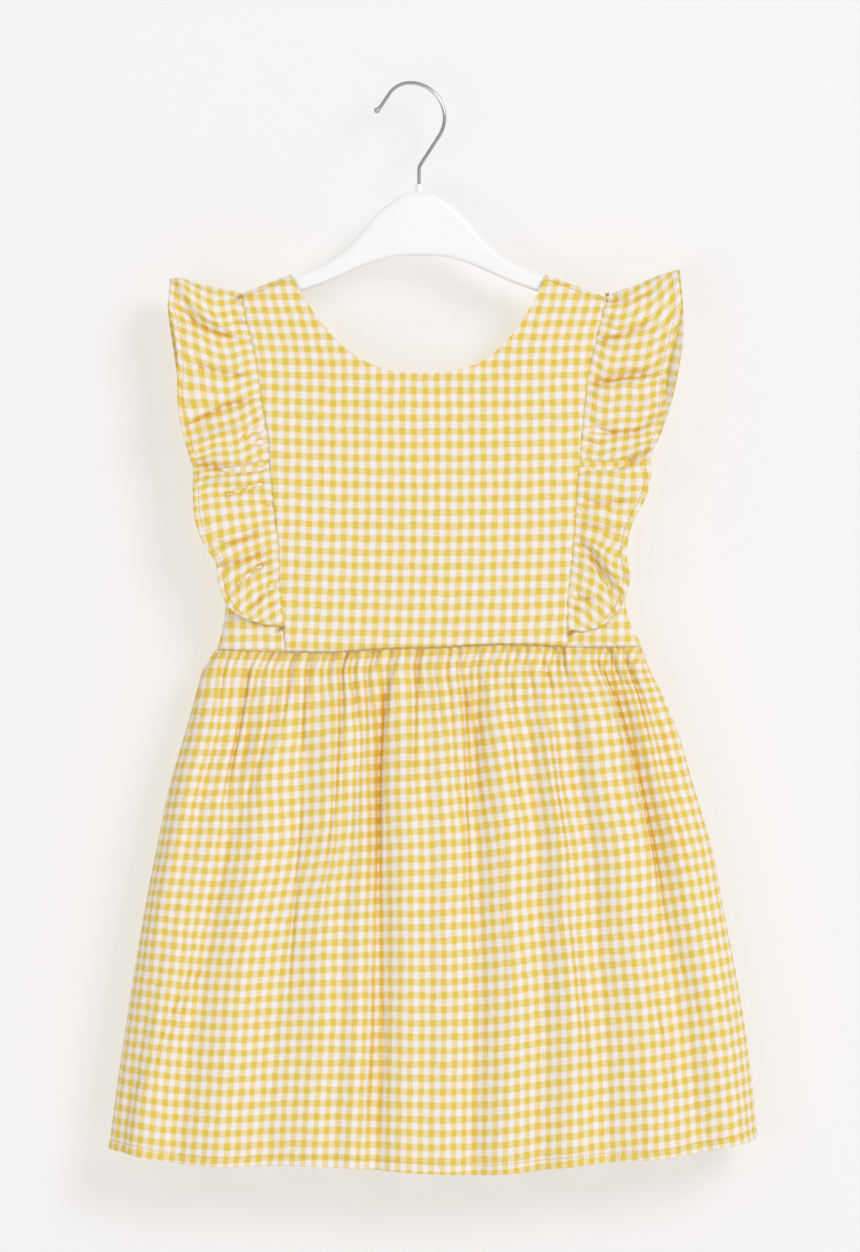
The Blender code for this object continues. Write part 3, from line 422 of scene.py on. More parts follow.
def section(x, drop):
    """Depth of the garment's rounded section at a place."""
    left, right = body_sides(drop)
    depth = read(BODY, BODY_DEPTH, drop)
    turned = np.clip(np.minimum(x - left, right - x) / (SIDE_TURN * depth), 0, 1)
    return depth * np.sqrt(1 - (1 - turned) ** 2)


def wall_depth(x, drop):
    """The section's depth, rounded off towards the shoulders."""
    down = np.clip((drop - shoulder_drop(x)) / SHOULDER_ROLL, 0, 1)
    return section(x, drop) * np.sqrt(1 - (1 - down) ** 2)


def stand(depth):
    """How far a wall stands from the middle plane, which it never quite meets."""
    return np.hypot(depth, EDGE_STAND) + GAP / 2


def grid_normals(points):
    return unit(np.cross(np.gradient(points, axis=1), np.gradient(points, axis=0)))


def outward(points, side):
    """Unit normals of a grid of points, pointing to the front (-1) or the back (1)."""
    normals = grid_normals(points)
    return normals * np.sign(normals[:, :, 1].sum()) * side


def run_along(*axes):
    """Distance along a line of points from its first one, from its places on each axis."""
    return np.concatenate(((0,), np.cumsum(np.linalg.norm(np.diff(axes), axis=0))))


def along_row(points, axis):
    """Distance along a grid of points from its first row or column."""
    steps = np.linalg.norm(np.diff(points, axis=axis), axis=2)
    return np.insert(np.cumsum(steps, axis=axis), 0, 0.0, axis=axis)


def smoothed(values, times, axes):
    """Values of a grid, spread over their neighbours along some of its axes."""
    for _ in range(times):
        for axis in axes:
            margin = [(int(axis == i),) * 2 for i in range(values.ndim)]
            wide = np.pad(values, margin, "reflect", reflect_type="odd")
            size = values.shape[axis]
            before, after = (np.take(wide, range(start, start + size), axis) for start in (0, 2))
            values = (before + 2 * values + after) / 4
    return values


def crease(x, drop, rise, one, other, line):
    """Height of a crease along a line of points, with its own width on each side.

    The first width lies to the left of a line that runs down, and above one that runs right.
    """
    line = np.array(line)
    bends = np.linspace(0, len(line) - 1, 4 * len(line))
    knots = np.arange(len(line))
    line = np.stack([read(np.stack((knots, places), 1), 1, bends) for places in line.T], axis=1)
    run = run_along(*line.T)
    nearest = np.full(x.shape, 1e9)
    side, part = np.zeros(x.shape), np.zeros(x.shape)
    for start, end, begun, done in zip(line[:-1], line[1:], run[:-1], run[1:]):
        way = end - start
        t = np.clip(((x - start[0]) * way[0] + (drop - start[1]) * way[1]) / (way @ way), 0, 1)
        off_x = x - start[0] - way[0] * t
        off_drop = drop - start[1] - way[1] * t
        distance = np.hypot(off_x, off_drop)
        closer = distance < nearest
        nearest = np.where(closer, distance, nearest)
        side = np.where(closer, way[0] * off_drop - way[1] * off_x, side)
        part = np.where(closer, (begun + (done - begun) * t) / run[-1], part)
    across = line[-1, 0] - line[0, 0] > abs(line[-1, 1] - line[0, 1])
    first = side < 0 if across else side > 0
    fade = ease(part / 0.2 + 0.15) * ease((1 - part) / 0.4)
    return rise * hill(nearest, np.where(first, one, other)) * fade


def gathers(at, down, sizes):
    """Uneven narrow troughs that start at a seam, each with its own depth, length and lean.

    at is the distance along the seam and down the distance from it.
    """
    count, least, most, short, long, seed, tilt = sizes
    chance = np.random.default_rng(seed)
    first, last = float(at.min()), float(at.max())
    step = (last - first) / count
    wave = np.zeros(np.broadcast(at, down).shape)
    for index in range(count):
        middle = first + step * (index + 0.5 + chance.uniform(-0.45, 0.45))
        depth = least + (most - least) * chance.uniform(0, 1) ** 2
        length = short + (long - short) * chance.uniform(0, 1) ** 2.2
        lean = chance.uniform(-tilt, tilt)
        width = chance.uniform(*GATHER_WIDTH)
        fade = ease(1.15 - down / length) * (0.35 + 0.65 * ease(down / GATHER_OPENS))
        flared = width * (1 + 1.2 * down / length)
        wave = wave - depth * fade * hill(at - (middle + lean * down), flared)
    return wave


def waist_drop(x):
    left, right = body_sides(WAIST_LEVEL)
    return read(WAIST, 1, (x - left) / (right - left))


def centre_panel(neck, straps, neck_columns, rows, first=None, last=None):
    """Places across and drops of a centre panel, from the waist to the top of the shoulder."""
    strap = np.linspace(0, 1, straps + 1)
    place = np.sin(np.linspace(-np.pi / 2, np.pi / 2, neck_columns + 1))
    left_corner, right_corner = NECK_CENTRE - NECK_HALF_WIDTH, NECK_CENTRE + NECK_HALF_WIDTH
    left_seam = read(PANEL_SEAM, SEAM_LEFT, SEAM_TOP["left"])
    right_seam = read(PANEL_SEAM, SEAM_RIGHT, SEAM_TOP["right"])
    left_strap = left_seam + (left_corner - left_seam) * strap[:-1]
    right_strap = right_corner + (right_seam - right_corner) * strap[1:]
    top_x = np.concatenate((left_strap, NECK_CENTRE + NECK_HALF_WIDTH * place, right_strap))
    top_drop = shoulder_drop(top_x)
    power = np.where(place < 0, neck["left_power"], neck["right_power"])
    top_drop[straps : len(top_x) - straps] = NECK_TOP + neck["deep"] * (1 - np.abs(place) ** power)
    part = run_along(top_x, top_drop)
    middle = len(part) // 2
    right_part = 0.5 + (part - part[middle]) / (part[-1] - part[middle]) / 2
    part = np.where(np.arange(len(part)) < middle, part / part[middle] / 2, right_part)
    left, right = (read(PANEL_SEAM, column, WAIST_LEVEL) for column in (SEAM_LEFT, SEAM_RIGHT))
    bottom_x = left + (right - left) * part
    bottom_drop = waist_drop(bottom_x)
    levels = np.linspace(0, 1, rows, endpoint=False)
    levels = levels - 0.012 * np.sin(2 * np.pi * levels) * (levels < 0.5)
    grid = [bottom_drop + (top_drop + SHOULDER_ROLL - bottom_drop) * v for v in levels]
    grid += [top_drop + SHOULDER_ROLL * (1 - np.cos(turn)) for turn in np.linspace(np.pi / 2, 0, 8)]
    drop = np.array(grid)
    x = bottom_x + (top_x - bottom_x) * (bottom_drop - drop) / (bottom_drop - top_drop)
    for edge, column, weight in ((0, SEAM_LEFT, (1 - part) ** 3), (-1, SEAM_RIGHT, part**3)):
        x = x + (read(PANEL_SEAM, column, drop[:, edge]) - x[:, edge])[:, None] * weight
    return x[:, first:last], drop[:, first:last]


def wall_points(x, drop, side, inset=0.0):
    depth = np.maximum(wall_depth(x, drop) - inset, 0.0)
    return np.stack((x, side * stand(depth), -drop), axis=2)


def slack(x, drop):
    """The low, wide unevenness of flat cotton that has been worn and washed."""
    wave = np.sin(x / 31 + drop / 57) + np.sin(x / 17 - drop / 43 + 1.3) + np.sin(drop / 29 + x / 71)
    return SLACK_RISE * wave


def rolled(distance, kind):
    """How far an edge turns in, at a distance from it."""
    deep, width = ROLLS[kind]
    return -deep * hill(distance, width)


def bodice_points(x, drop, side, neck):
    points = wall_points(x, drop, side)
    rows = along_row(points, 0)
    move = slack(x, drop) * ease(rows / 20) + rolled(rows, "edge")
    if neck == FRONT_NECK:
        seam = np.minimum(along_row(points, 1), along_row(points[:, ::-1], 1)[:, ::-1])
        move = move + rolled(seam, "seam")
    move = move + rolled(drop - shoulder_drop(x) - STRAP_GROOVE, "strap")
    return points + outward(points, side) * move[:, :, None]


def side_points(hand, side):
    """Points of the small panel between a centre panel's seam and the side seam."""
    column = SEAM_LEFT if hand < 0 else SEAM_RIGHT
    half = SIDE_COLUMNS // 2
    part = np.linspace(0, 1, SIDE_COLUMNS)
    bottom_in = read(PANEL_SEAM, column, WAIST_LEVEL)
    bottom_out = read(BODY, column, WAIST_LEVEL)
    bottom_drop = waist_drop(bottom_in + (bottom_out - bottom_in) * part)
    top_drop = ARMHOLE_AT_SEAM + (ARMHOLE_AT_SIDE - ARMHOLE_AT_SEAM) * np.sin(part * np.pi / 2)
    drop = bottom_drop + (top_drop - bottom_drop) * np.linspace(0, 1, SIDE_ROWS)[:, None] ** 1.3
    seam = read(PANEL_SEAM, column, drop) - hand * SEAM_LAP
    edge = read(BODY, column, drop)
    turn = SIDE_TURN * read(BODY, BODY_DEPTH, drop)
    x = seam + (edge - hand * turn - seam) * np.clip(part / part[half], 0, 1)
    steps = np.linspace(np.pi / 2, 0, half)
    x[:, half:] = edge[:, half:] - hand * turn[:, half:] * (1 - np.cos(steps))
    points = wall_points(x, drop, side, SIDE_INSET * np.sqrt(1 - part**6))
    move = rolled(along_row(points, 0), "side")
    return points + outward(points, side) * move[:, :, None], x, drop


def across_tube(part, drop):
    """Places across the skirt, from -1 to 1, at even distances round it."""
    turn = np.sin(np.linspace(-np.pi / 2, np.pi / 2, 481))
    left, right = body_sides(drop)
    x = (left + right) / 2 + turn * (right - left) / 2
    run = run_along(x, section(x, drop))
    return np.interp(part * run[-1], run, turn)


def skirt_grid(side):
    """Points of a smooth skirt panel, from the waist seam to the hem."""
    part = np.linspace(0, 1, SKIRT_COLUMNS)
    top = read(WAIST, 1, part) - SKIRT_TUCK
    bottom = read(HEM, 1, part)
    grid = []
    for down in SKIRT_ROWS:
        drop = top + (bottom - top) * down / SKIRT_LENGTH
        left, right = body_sides(drop)
        x = (left + right) / 2 + across_tube(part, float(drop.mean())) * (right - left) / 2
        grid.append(np.stack((x, side * stand(section(x, drop)), -drop), axis=1))
    return np.array(grid)


def skirt_wave(side, x, drop, down, at):
    """Height of the skirt's folds, how much cloth they hide and how much painted shade they get."""
    left, right = body_sides(WAIST_LEVEL)
    wave = gathers(at * (right - left), down, FRONT_GATHERS if side < 0 else BACK_GATHERS)
    hidden = np.clip(-wave, 0, DEEPEST)
    shade = np.zeros(x.shape)
    if side < 0:
        for rise, one, other, line in SKIRT_CREASES:
            wide = crease(x, drop, rise, CREASE_WIDER * one, CREASE_WIDER * other, line)
            wave = wave + SKIRT_RELIEF * wide
            # A narrow painted dark line along each crease, where the crease also takes up cloth.
            narrow = crease(x, drop, max(-rise, 0.0), CREASE_LINE, CREASE_LINE, line)
            shade = shade + CREASE_SHADE["skirt"] * narrow
            hidden = hidden + CREASE_HIDES * narrow
        # Bands of painted shade.
        for band in SKIRT_SHADES:
            shade = shade + crease(x, drop, *band)
    else:
        for at_waist, at_end, rise, width, end in BACK_CREASES:
            fade = ease(down / 10) * ease((end - down) / (0.6 * end))
            wide = width * (1 + down / end) / BACK_SPAN
            trough = rise * fade * ridge(at, down / end, at_waist, at_end, wide)
            wave = wave + trough
            hidden = hidden + np.clip(-trough, 0, DEEPEST)
    wave = wave + WAIST_PUFF * ease(down / 8) * np.exp(-down / WAIST_REACH)
    for at_waist, at_hem, rise, spread in FRONT_FOLDS if side < 0 else BACK_FOLDS:
        shape = ridge(at, down / SKIRT_LENGTH, at_waist, at_hem, spread)
        wave = wave + rise * ease(down / FOLD_START) * shape
    wave = wave * ease(at / SIDE_CALM) * ease((1 - at) / SIDE_CALM)
    to_hem = SKIRT_LENGTH - down
    stitched = rolled(to_hem - HEM_DEEP, "hem") + 0.25 * ease((HEM_DEEP - to_hem) / 1.5)
    wave = wave + rolled(down, "waist") + stitched + slack(x, drop) * ease(down / 30)
    return wave, hidden, shade


def skirt_cloth(base, run, hidden, x, down, at):
    """Places of the skirt's cloth, whose checks are drawn together where creases hide them.

    base and run are the distances across the smooth and the folded panel. Above the rows where
    the gathers open and the waist has flared, the checks run straight up.
    """
    middle = SKIRT_COLUMNS // 2
    open_row, flared_row = np.searchsorted(SKIRT_ROWS, (GATHER_OPENS, WAIST_FLARES))
    follow = run / run[:, -1:] - base / base[:, -1:]
    follow[:open_row] = follow[open_row]
    follow = smoothed(follow, CHECK_CALM, (0,))
    shown = (base - base[:, middle, None]) / CHECK_SHRINK
    taken_up = (TAKEN_UP["sides"] * (2 * at - 1) ** 2 + TAKEN_UP["all"]) * (TAKEN_UP["even"] + hidden)
    taken_up[:open_row] = taken_up[open_row]
    taken_up = np.cumsum(smoothed(taken_up, CHECK_CALM, (0,)), axis=1)
    taken_up -= taken_up[:, middle, None]
    half = SKIRT_CUT[0] / 2
    for hand, edge, side_of in ((-1, 0, at < 0.5), (1, -1, at >= 0.5)):
        spare = CHECK_TAKEN_UP * (hand * half - shown[:, edge, None])
        spare[:flared_row] = spare[flared_row]
        shown = np.where(side_of, shown + spare * taken_up / taken_up[:, edge, None], shown)
    u = shown + half + CHECK_FOLLOWS * follow * SKIRT_CUT[0]
    grain = SKIRT_GRAIN["all"] + SKIRT_GRAIN["upper"] * (1 - ease((down - 60) / 250))
    tilted = grain * (x - LOOKED_AT[0] / METRES) * ease(down / 50)
    return np.stack((u, down / SKIRT_LENGTH * SKIRT_CUT[1] + SKIRT_CHECK_SHIFT + tilted), axis=2)


def skirt_points(side):
    """Points of a skirt panel, the places of its cloth and the painted shade of its creases."""
    points = skirt_grid(side)
    down = np.broadcast_to(SKIRT_ROWS[:, None], points.shape[:2])
    at = np.broadcast_to(np.linspace(0, 1, SKIRT_COLUMNS), points.shape[:2])
    x, drop = points[:, :, 0], -points[:, :, 2]
    wave, hidden, shade = skirt_wave(side, x, drop, down, at)
    folded = points + outward(points, side) * wave[:, :, None]
    cloth = skirt_cloth(along_row(points, 1), along_row(folded, 1), hidden, x, down, at)
    return folded, cloth, shade


def ruffle_rails(hand, along):
    """The lines of a ruffle's seam and of its free edge, from the front end to the back one."""
    name = HANDS[hand]
    table = RUFFLES[name]
    x, drop = centre_panel(FRONT_NECK, 4, 20, 60)
    column = 0 if hand < 0 else -1
    line_drop, line_x = drop[::-1, column], x[::-1, column] + hand * GAP
    side = np.where(along < 0, -1.0, 1.0)
    over = np.clip(1 - np.abs(along) / RUFFLE_ROLL, 0, 1) * np.pi / 2
    start = table[0, 0]
    drop = start + np.maximum(np.abs(along) - RUFFLE_ROLL, 0)
    seam_drop = drop - (start - line_drop[0]) * np.sin(over)
    seam_x = np.interp(seam_drop, line_drop, line_x)
    seam_y = side * (section(seam_x, drop) * np.cos(over) + GAP / 2)
    corner_x, corner_drop = RUFFLE_TOP[name]
    edge_x = read(table, 1, drop) + (corner_x - table[0, 1]) * np.sin(over)
    turned_in, middle, half = RUFFLE_TURNED[name]
    edge_x = edge_x - hand * turned_in * hill(np.where(along < 0, drop - middle, 1e3), half)
    edge_y = side * RUFFLE_EDGE_DEPTH * np.cos(over)
    edge_drop = read(table, 2, drop) - (table[0, 2] - corner_drop) * np.sin(over)
    seam = np.stack((seam_x - hand * RUFFLE_TUCK, seam_y, -seam_drop), 1)
    return seam, np.stack((edge_x, edge_y, -edge_drop), 1)


def ruffle_points(hand):
    """A ruffle's points from its seam to its free edge, its cloth's places, painted shade and area."""
    name = HANDS[hand]
    table = RUFFLES[name]
    reach = RUFFLE_ROLL + table[-1, 0] - table[0, 0]
    along = np.linspace(-reach, reach, RUFFLE_COLUMNS)
    seam, edge = ruffle_rails(hand, along)
    outs = np.linspace(0, 1, RUFFLE_ROWS)
    points = np.array([seam + (edge - seam) * out for out in outs])
    out = np.broadcast_to(outs[:, None], points.shape[:2])
    at = np.broadcast_to(along[None, :], points.shape[:2])
    width = np.linalg.norm(edge - seam, axis=1)[None, :]
    wave = 1.0 * (1 - out) + RUFFLE_BOW * np.sin(np.pi * out / 2)
    wave = wave + gathers(at, out * width, RUFFLE_GATHERS)
    for at_seam, at_edge, rise, spread in RUFFLE_WAVES[name]:
        wave = wave + rise * out**0.7 * ridge(at, out, at_seam, at_edge, spread)
    front = at < 0
    x, drop = points[:, :, 0], -points[:, :, 2]
    shade = np.zeros(points.shape[:2])
    for rise, one, other, line in RUFFLE_CREASES[name]:
        # A painted dark line along each crease in front.
        deep = CREASE_SHADE["ruffle"] * max(-rise, 0.0)
        shade = shade + np.where(front, crease(x, drop, deep, CREASE_LINE, CREASE_LINE, line), 0)
        wave = wave + np.where(front, RUFFLE_RELIEF * crease(x, drop, rise, one, other, line), 0)
        behind = crease(x, drop + BACK_HIGHER, BACK_RELIEF * rise, one, other, line)
        wave = wave + np.where(~front, behind, 0)
    wave = wave + rolled((1 - out) * width - RUFFLE_HEM_DEEP, "ruffle_hem")
    wave = wave + rolled(out * width, "ruffle_seam")
    points = points - hand * grid_normals(points) * wave[:, :, None]
    run = along_row(points, 1)
    across = run / run[:, -1:]
    even = across.mean(axis=0)
    v = (even + CHECK_FOLLOWS * smoothed(across - even, CHECK_CALM, (0,))) * RUFFLE_CUT[1]
    v = v + read(RUFFLE_GRAIN, 1 if hand < 0 else 2, at) * (out - 0.3) * width
    u = smoothed(along_row(points, 0), 30, (1,)) + RUFFLE_CHECK_SHIFT
    area = float((width[0, 1:] * np.diff(v[-1])).sum()) * METRES**2
    return points, np.stack((u, v), axis=2), shade, area


# Materials.


def plug(tree, made, inputs):
    """Gives a shader node values or links for its inputs."""
    for key, value in inputs.items():
        if isinstance(value, bpy.types.NodeSocket):
            tree.links.new(value, made.inputs[key])
        else:
            made.inputs[key].default_value = value


def node(tree, kind, inputs=None, **settings):
    made = tree.nodes.new(kind)
    for key, value in settings.items():
        setattr(made, key, value)
    plug(tree, made, inputs or {})
    return made


def sums(tree, operation, *values):
    return node(tree, "ShaderNodeMath", dict(enumerate(values)), operation=operation).outputs[0]


def vectors(tree, operation, inputs):
    return node(tree, "ShaderNodeVectorMath", inputs, operation=operation).outputs[0]


def noise(tree, place, scale, detail):
    return node(tree, "ShaderNodeTexNoise", {"Vector": place, "Scale": scale, "Detail": detail}).outputs


def blend(tree, part, low, high, **settings):
    """A colour between two colours or sockets."""
    return node(tree, "ShaderNodeMix", {0: part, 6: low, 7: high}, data_type="RGBA", **settings).outputs[2]


def bumped(tree, shader, height, distance, strength):
    inputs = {"Height": height, "Distance": distance, "Strength": strength}
    plug(tree, shader, {"Normal": node(tree, "ShaderNodeBump", inputs).outputs[0]})


def linear(red, green, blue):
    """A colour's linear values from its 0 to 255 ones."""
    values = [c / 255 for c in (red, green, blue)]
    return (*(c / 12.92 if c <= 0.04045 else ((c + 0.055) / 1.055) ** 2.4 for c in values), 1.0)


def darker(colour, share):
    return (*(share * c for c in colour[:3]), 1.0)


def new_material(name, roughness):
    material = bpy.data.materials.new(name)
    material.use_nodes = True
    shader = material.node_tree.nodes["Principled BSDF"]
    shader.inputs["Roughness"].default_value = roughness
    return material, material.node_tree, shader


def check_cotton(name, phase):
    """Yarn-dyed gingham: half of the warp and half of the weft are yellow."""
    material, tree, shader = new_material(name, 0.86)
    yellow, pale, white = (linear(*yarn) for yarn in (YARN_YELLOW, YARN_HALF, YARN_WHITE))
    uv = node(tree, "ShaderNodeUVMap", uv_map="Cloth").outputs[0]
    off = vectors(tree, "SUBTRACT", {0: noise(tree, uv, 95.0, 2.0)[1], 1: (0.5, 0.5, 0.5)})
    place = vectors(tree, "ADD", {0: uv, 1: vectors(tree, "SCALE", {0: off, "Scale": CHECK_UNEVEN})})
    parts = node(tree, "ShaderNodeSeparateXYZ", {0: place})
    dyed, threads = [], []
    for axis, period in ((0, CHECK_WIDE), (1, CHECK_TALL)):
        turns = sums(tree, "MULTIPLY_ADD", parts.outputs[axis], 1 / (period * METRES), phase[axis])
        swing = sums(tree, "ABSOLUTE", sums(tree, "SUBTRACT", sums(tree, "FRACT", turns), 0.5))
        band = {"Value": swing, "From Min": 0.222, "From Max": 0.278}
        dyed.append(node(tree, "ShaderNodeMapRange", band, interpolation_type="SMOOTHSTEP").outputs[0])
        turns = sums(tree, "MULTIPLY", parts.outputs[axis], 2 * math.pi / (THREAD_PAIR * METRES))
        threads.append(sums(tree, "SINE", turns))
    both = sums(tree, "MULTIPLY", *dyed)
    either = sums(tree, "MAXIMUM", *dyed)
    streaks = []
    for stretch in ((2600.0, 160.0, 1.0), (160.0, 2600.0, 1.0)):
        streaks.append(noise(tree, vectors(tree, "MULTIPLY", {0: uv, 1: stretch}), 1.0, 1.0)[0])
    slub = sums(tree, "SUBTRACT", sums(tree, "ADD", *streaks), 1.0)
    colour = blend(tree, both, blend(tree, either, white, pale), yellow)
    worn = sums(tree, "MULTIPLY", sums(tree, "MULTIPLY", slub, 0.35), either)
    colour = blend(tree, node(tree, "ShaderNodeClamp", {0: worn}).outputs[0], colour, white)
    # Painted shade: the checks are multiplied towards the fold shade colour by the mesh's painted fold
    # shade attribute, less on white threads.
    deep = node(tree, "ShaderNodeAttribute", attribute_name="PaintedFoldShade").outputs[2]
    deep = sums(tree, "MULTIPLY", deep, sums(tree, "MULTIPLY_ADD", either, 0.7, 0.3))
    fold_shade_tint = blend(tree, deep, (1.0, 1.0, 1.0, 1.0), linear(*PAINTED_FOLD_SHADE))
    crinkle = sums(tree, "MULTIPLY", noise(tree, uv, 210.0, 3.0)[0], 0.9)
    height = sums(tree, "MULTIPLY_ADD", sums(tree, "MULTIPLY", *threads), 0.035, crinkle)
    bumped(tree, shader, sums(tree, "MULTIPLY_ADD", slub, 0.08, height), 0.0011, 0.6)
    looks = {"Base Color": blend(tree, 1.0, colour, fold_shade_tint, blend_type="MULTIPLY")}
    looks |= {"Sheen Weight": 0.12, "Sheen Roughness": 0.5, "Specular IOR Level": 0.25}
    plug(tree, shader, looks)
    return material


def plain(name, roughness, colour, other, scale, detail):
    """A material that is slightly uneven in tone, with its tree, shader, place and unevenness."""
    material, tree, shader = new_material(name, roughness)
    place = node(tree, "ShaderNodeTexCoord").outputs[3]
    cloud = noise(tree, place, scale, detail)[0]
    plug(tree, shader, {"Base Color": blend(tree, cloud, colour, other)})
    return material, tree, shader, place, cloud


def thread(name, colour):
    """Twisted sewing thread."""
    material, tree, shader, _, twist = plain(name, 0.6, colour, darker(colour, 0.82), 900.0, 2.0)
    bumped(tree, shader, twist, 0.0002, 0.6)
    return material


def moulded(name, colour, roughness, scale, depth):
    """Moulded plastic with a thin gloss."""
    tones = (colour, darker(colour, 0.965))
    material, tree, shader, place, _ = plain(name, roughness, *tones, scale, 3.0)
    plug(tree, shader, {"Coat Weight": 0.15, "Coat Roughness": 0.2})
    bumped(tree, shader, noise(tree, place, scale * 14, 2.0)[0], depth, 0.4)
    return material


def drawn_steel(name):
    """Bright wire, uneven in gloss too."""
    tones = (linear(205, 204, 203), linear(168, 168, 169))
    material, tree, shader, _, cloud = plain(name, 0.2, *tones, 160.0, 3.0)
    rough = node(tree, "ShaderNodeMapRange", {"Value": cloud, "To Min": 0.14, "To Max": 0.3}).outputs[0]
    plug(tree, shader, {"Roughness": rough, "Metallic": 1.0})
    return material


# Pieces.


def grid_mesh(name, points, cloth, fold, turned):
    """A mesh of a grid of points, with the places of its cloth as a UV map in metres and its painted fold
    shade as an attribute.
    """
    rows, columns = points.shape[:2]
    index = np.arange(rows * columns).reshape(rows, columns)
    corners = (index[:-1, :-1], index[:-1, 1:], index[1:, 1:], index[1:, :-1])
    faces = np.stack(corners, axis=2).reshape(-1, 4)
    if turned:
        faces = faces[:, ::-1]
    mesh = bpy.data.meshes.new(name)
    mesh.from_pydata((points.reshape(-1, 3) * METRES).tolist(), [], faces.tolist())
    flat = cloth.reshape(-1, 2) * METRES
    layer = mesh.uv_layers.new(name="Cloth")
    layer.data.foreach_set("uv", flat[faces.reshape(-1)].astype(np.float32).ravel())
    # The painted fold shade of each point.
    deep = mesh.attributes.new("PaintedFoldShade", "FLOAT", "POINT")
    deep.data.foreach_set("value", fold.reshape(-1).astype(np.float32))
    mesh.shade_smooth()
    return mesh


def add_object(name, data, material=None):
    made = bpy.data.objects.new(name, data)
    bpy.context.scene.collection.objects.link(made)
    if material:
        data.materials.append(material)
    return made


def add_piece(name, mesh, material, slot, *nodes):
    made = add_object(name, mesh, material)
    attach(made, "root")
    if nodes:
        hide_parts(*nodes)
    return made


def hollow_shade(points, reach):
    """Painted shade from how deep each point of a grid lies in a fold, and 0 near its side and lower edges.
    """
    mean = smoothed(points, reach, (0, 1))
    normals = grid_normals(mean)
    facing = np.where(points[:, :, 1:2] < 0, -1.0, 1.0)
    normals *= np.sign(normals[:, :, 1:2] * facing + 1e-9)
    inside = np.ones(points.shape[:2])
    inside[-12:] = 0
    inside[:, :16] = inside[:, -16:] = 0
    below = ((mean - points) * normals).sum(axis=2)
    return np.clip((below - HOLLOW_FROM) / HOLLOW_OVER, 0, HOLLOW_MOST) * inside


def add_cloth(solid, points, cloth, material, turned, held, area=None, shade=0.0):
    """A sheet of cloth in place of a solid, whose points are its outer face."""
    # Painted shade: the creases' lines and the bands given, on gathered pieces the hollows of their folds,
    # and on the skirts a band below the waist.
    fold = shade
    if held == "gathered":
        fold = fold + hollow_shade(points, HOLLOW_REACH["ruffle" if area else "skirt"])
        if not area:
            fold = fold + WAIST_PAINTED_SHADE * np.exp(-cloth[:, :1, 1] / WAIST_REACH)
    fold = np.clip(np.broadcast_to(fold, points.shape[:2]), 0, 1)
    mesh = grid_mesh(f"{solid}_cloth", points, cloth, fold, turned)
    made = add_piece(f"{solid}_cloth", mesh, material, "checked_cotton", solid)
    wall = made.modifiers.new("Wall", "SOLIDIFY")
    wall.thickness = SHELL * METRES
    wall.offset = -1


def add_flat_cloth(solid, points, x, drop, places, material, turned):
    """A piece that is cut flat, as wide and tall as its grid of places and drops."""
    area = (np.abs(np.diff(x, axis=1)[:-1]) * np.abs(np.diff(drop, axis=0)[:, :-1])).sum() * METRES**2
    add_cloth(solid, points, places, material, turned, "hung", float(area))


def bodice_cloth(x, drop):
    """Places of the checks, which lean with the straps and sag a little between the sides."""
    strap = np.where(x < NECK_CENTRE, read(CHECK_LEAN, 1, drop), read(CHECK_LEAN, 2, drop))
    (start, drifts), (middle, sags), (u, v) = BODICE_DRIFT, BODICE_SAG, BODICE_CHECK_SHIFT
    drift = drifts * np.maximum(drop - start, 0) ** 2
    sag = sags * (x - middle) ** 2 * ease((drop - 155) / 50)
    return np.stack((BODICE_CHECK_WIDER * x + strap + drift + u, drop + v + sag), axis=2)


def add_bodice(cotton, sewing):
    x, drop = centre_panel(FRONT_NECK, *BODICE_GRID)
    points = bodice_points(x, drop, -1, FRONT_NECK)
    add_flat_cloth("front_bodice", points, x, drop, bodice_cloth(x, drop), cotton, False)
    for name, columns in (("left", slice(0, 13)), ("right", slice(-13, None))):
        strap_x = x[-1, columns]
        strap_drop = shoulder_drop(strap_x) + STRAP_STITCH
        strap_y = -stand(wall_depth(strap_x, strap_drop)) - 0.05
        line = np.stack((strap_x, strap_y, -strap_drop), axis=1)
        add_stitches(f"strap_{name}_stitches", line, (0.0, -0.94, 0.34), sewing)
    for name, first, last in (("left", None, 55), ("right", 54, None)):
        x, drop = centre_panel(BACK_NECK, *BODICE_GRID, first, last)
        x[:, -1 if first is None else 0] += GAP / 2 * (-1 if first is None else 1)
        points = bodice_points(x, drop, 1, BACK_NECK)
        places = bodice_cloth(x, drop)
        add_flat_cloth(f"back_bodice_{name}", points, x, drop, places, cotton, True)
    for hand, name in HANDS.items():
        for side, part, bodice in ((-1, "front", "front_bodice"), (1, "back", f"back_bodice_{name}")):
            points, x, drop = side_points(hand, side)
            places = np.stack((x, drop), axis=2)
            turned = hand * side > 0
            add_flat_cloth(f"{part}_side_{name}", points, x, drop, places, cotton, turned)


def add_skirts(cotton, sewing, seam_thread):
    for name, side, bodice in (
        ("skirt_front", -1, ["front_bodice"]),
        ("skirt_back", 1, ["back_bodice_left", "back_bodice_right"]),
    ):
        points, places, shade = skirt_points(side)
        add_cloth(name, points, places, cotton, side < 0, "gathered", shade=shade)
        left, right = body_sides(WAIST_LEVEL)
        seam_x = left + (right - left) * np.linspace(0.012, 0.988, 260)
        seam_drop = waist_drop(seam_x) + 0.35
        seam_y = side * (stand(section(seam_x, seam_drop)) - 0.15)
        line = np.stack((seam_x, seam_y, -seam_drop), axis=1)
        add_stitches(f"{name}_waist_stitches", line, (0.0, side, 0.0), seam_thread, WAIST_STITCH)
        row = len(SKIRT_MAIN_ROWS) + HEM_ROWS.index(HEM_DEEP)
        add_stitches(f"{name}_hem_stitches", points[row, 3:-3], outward(points, side)[row, 3:-3], sewing)


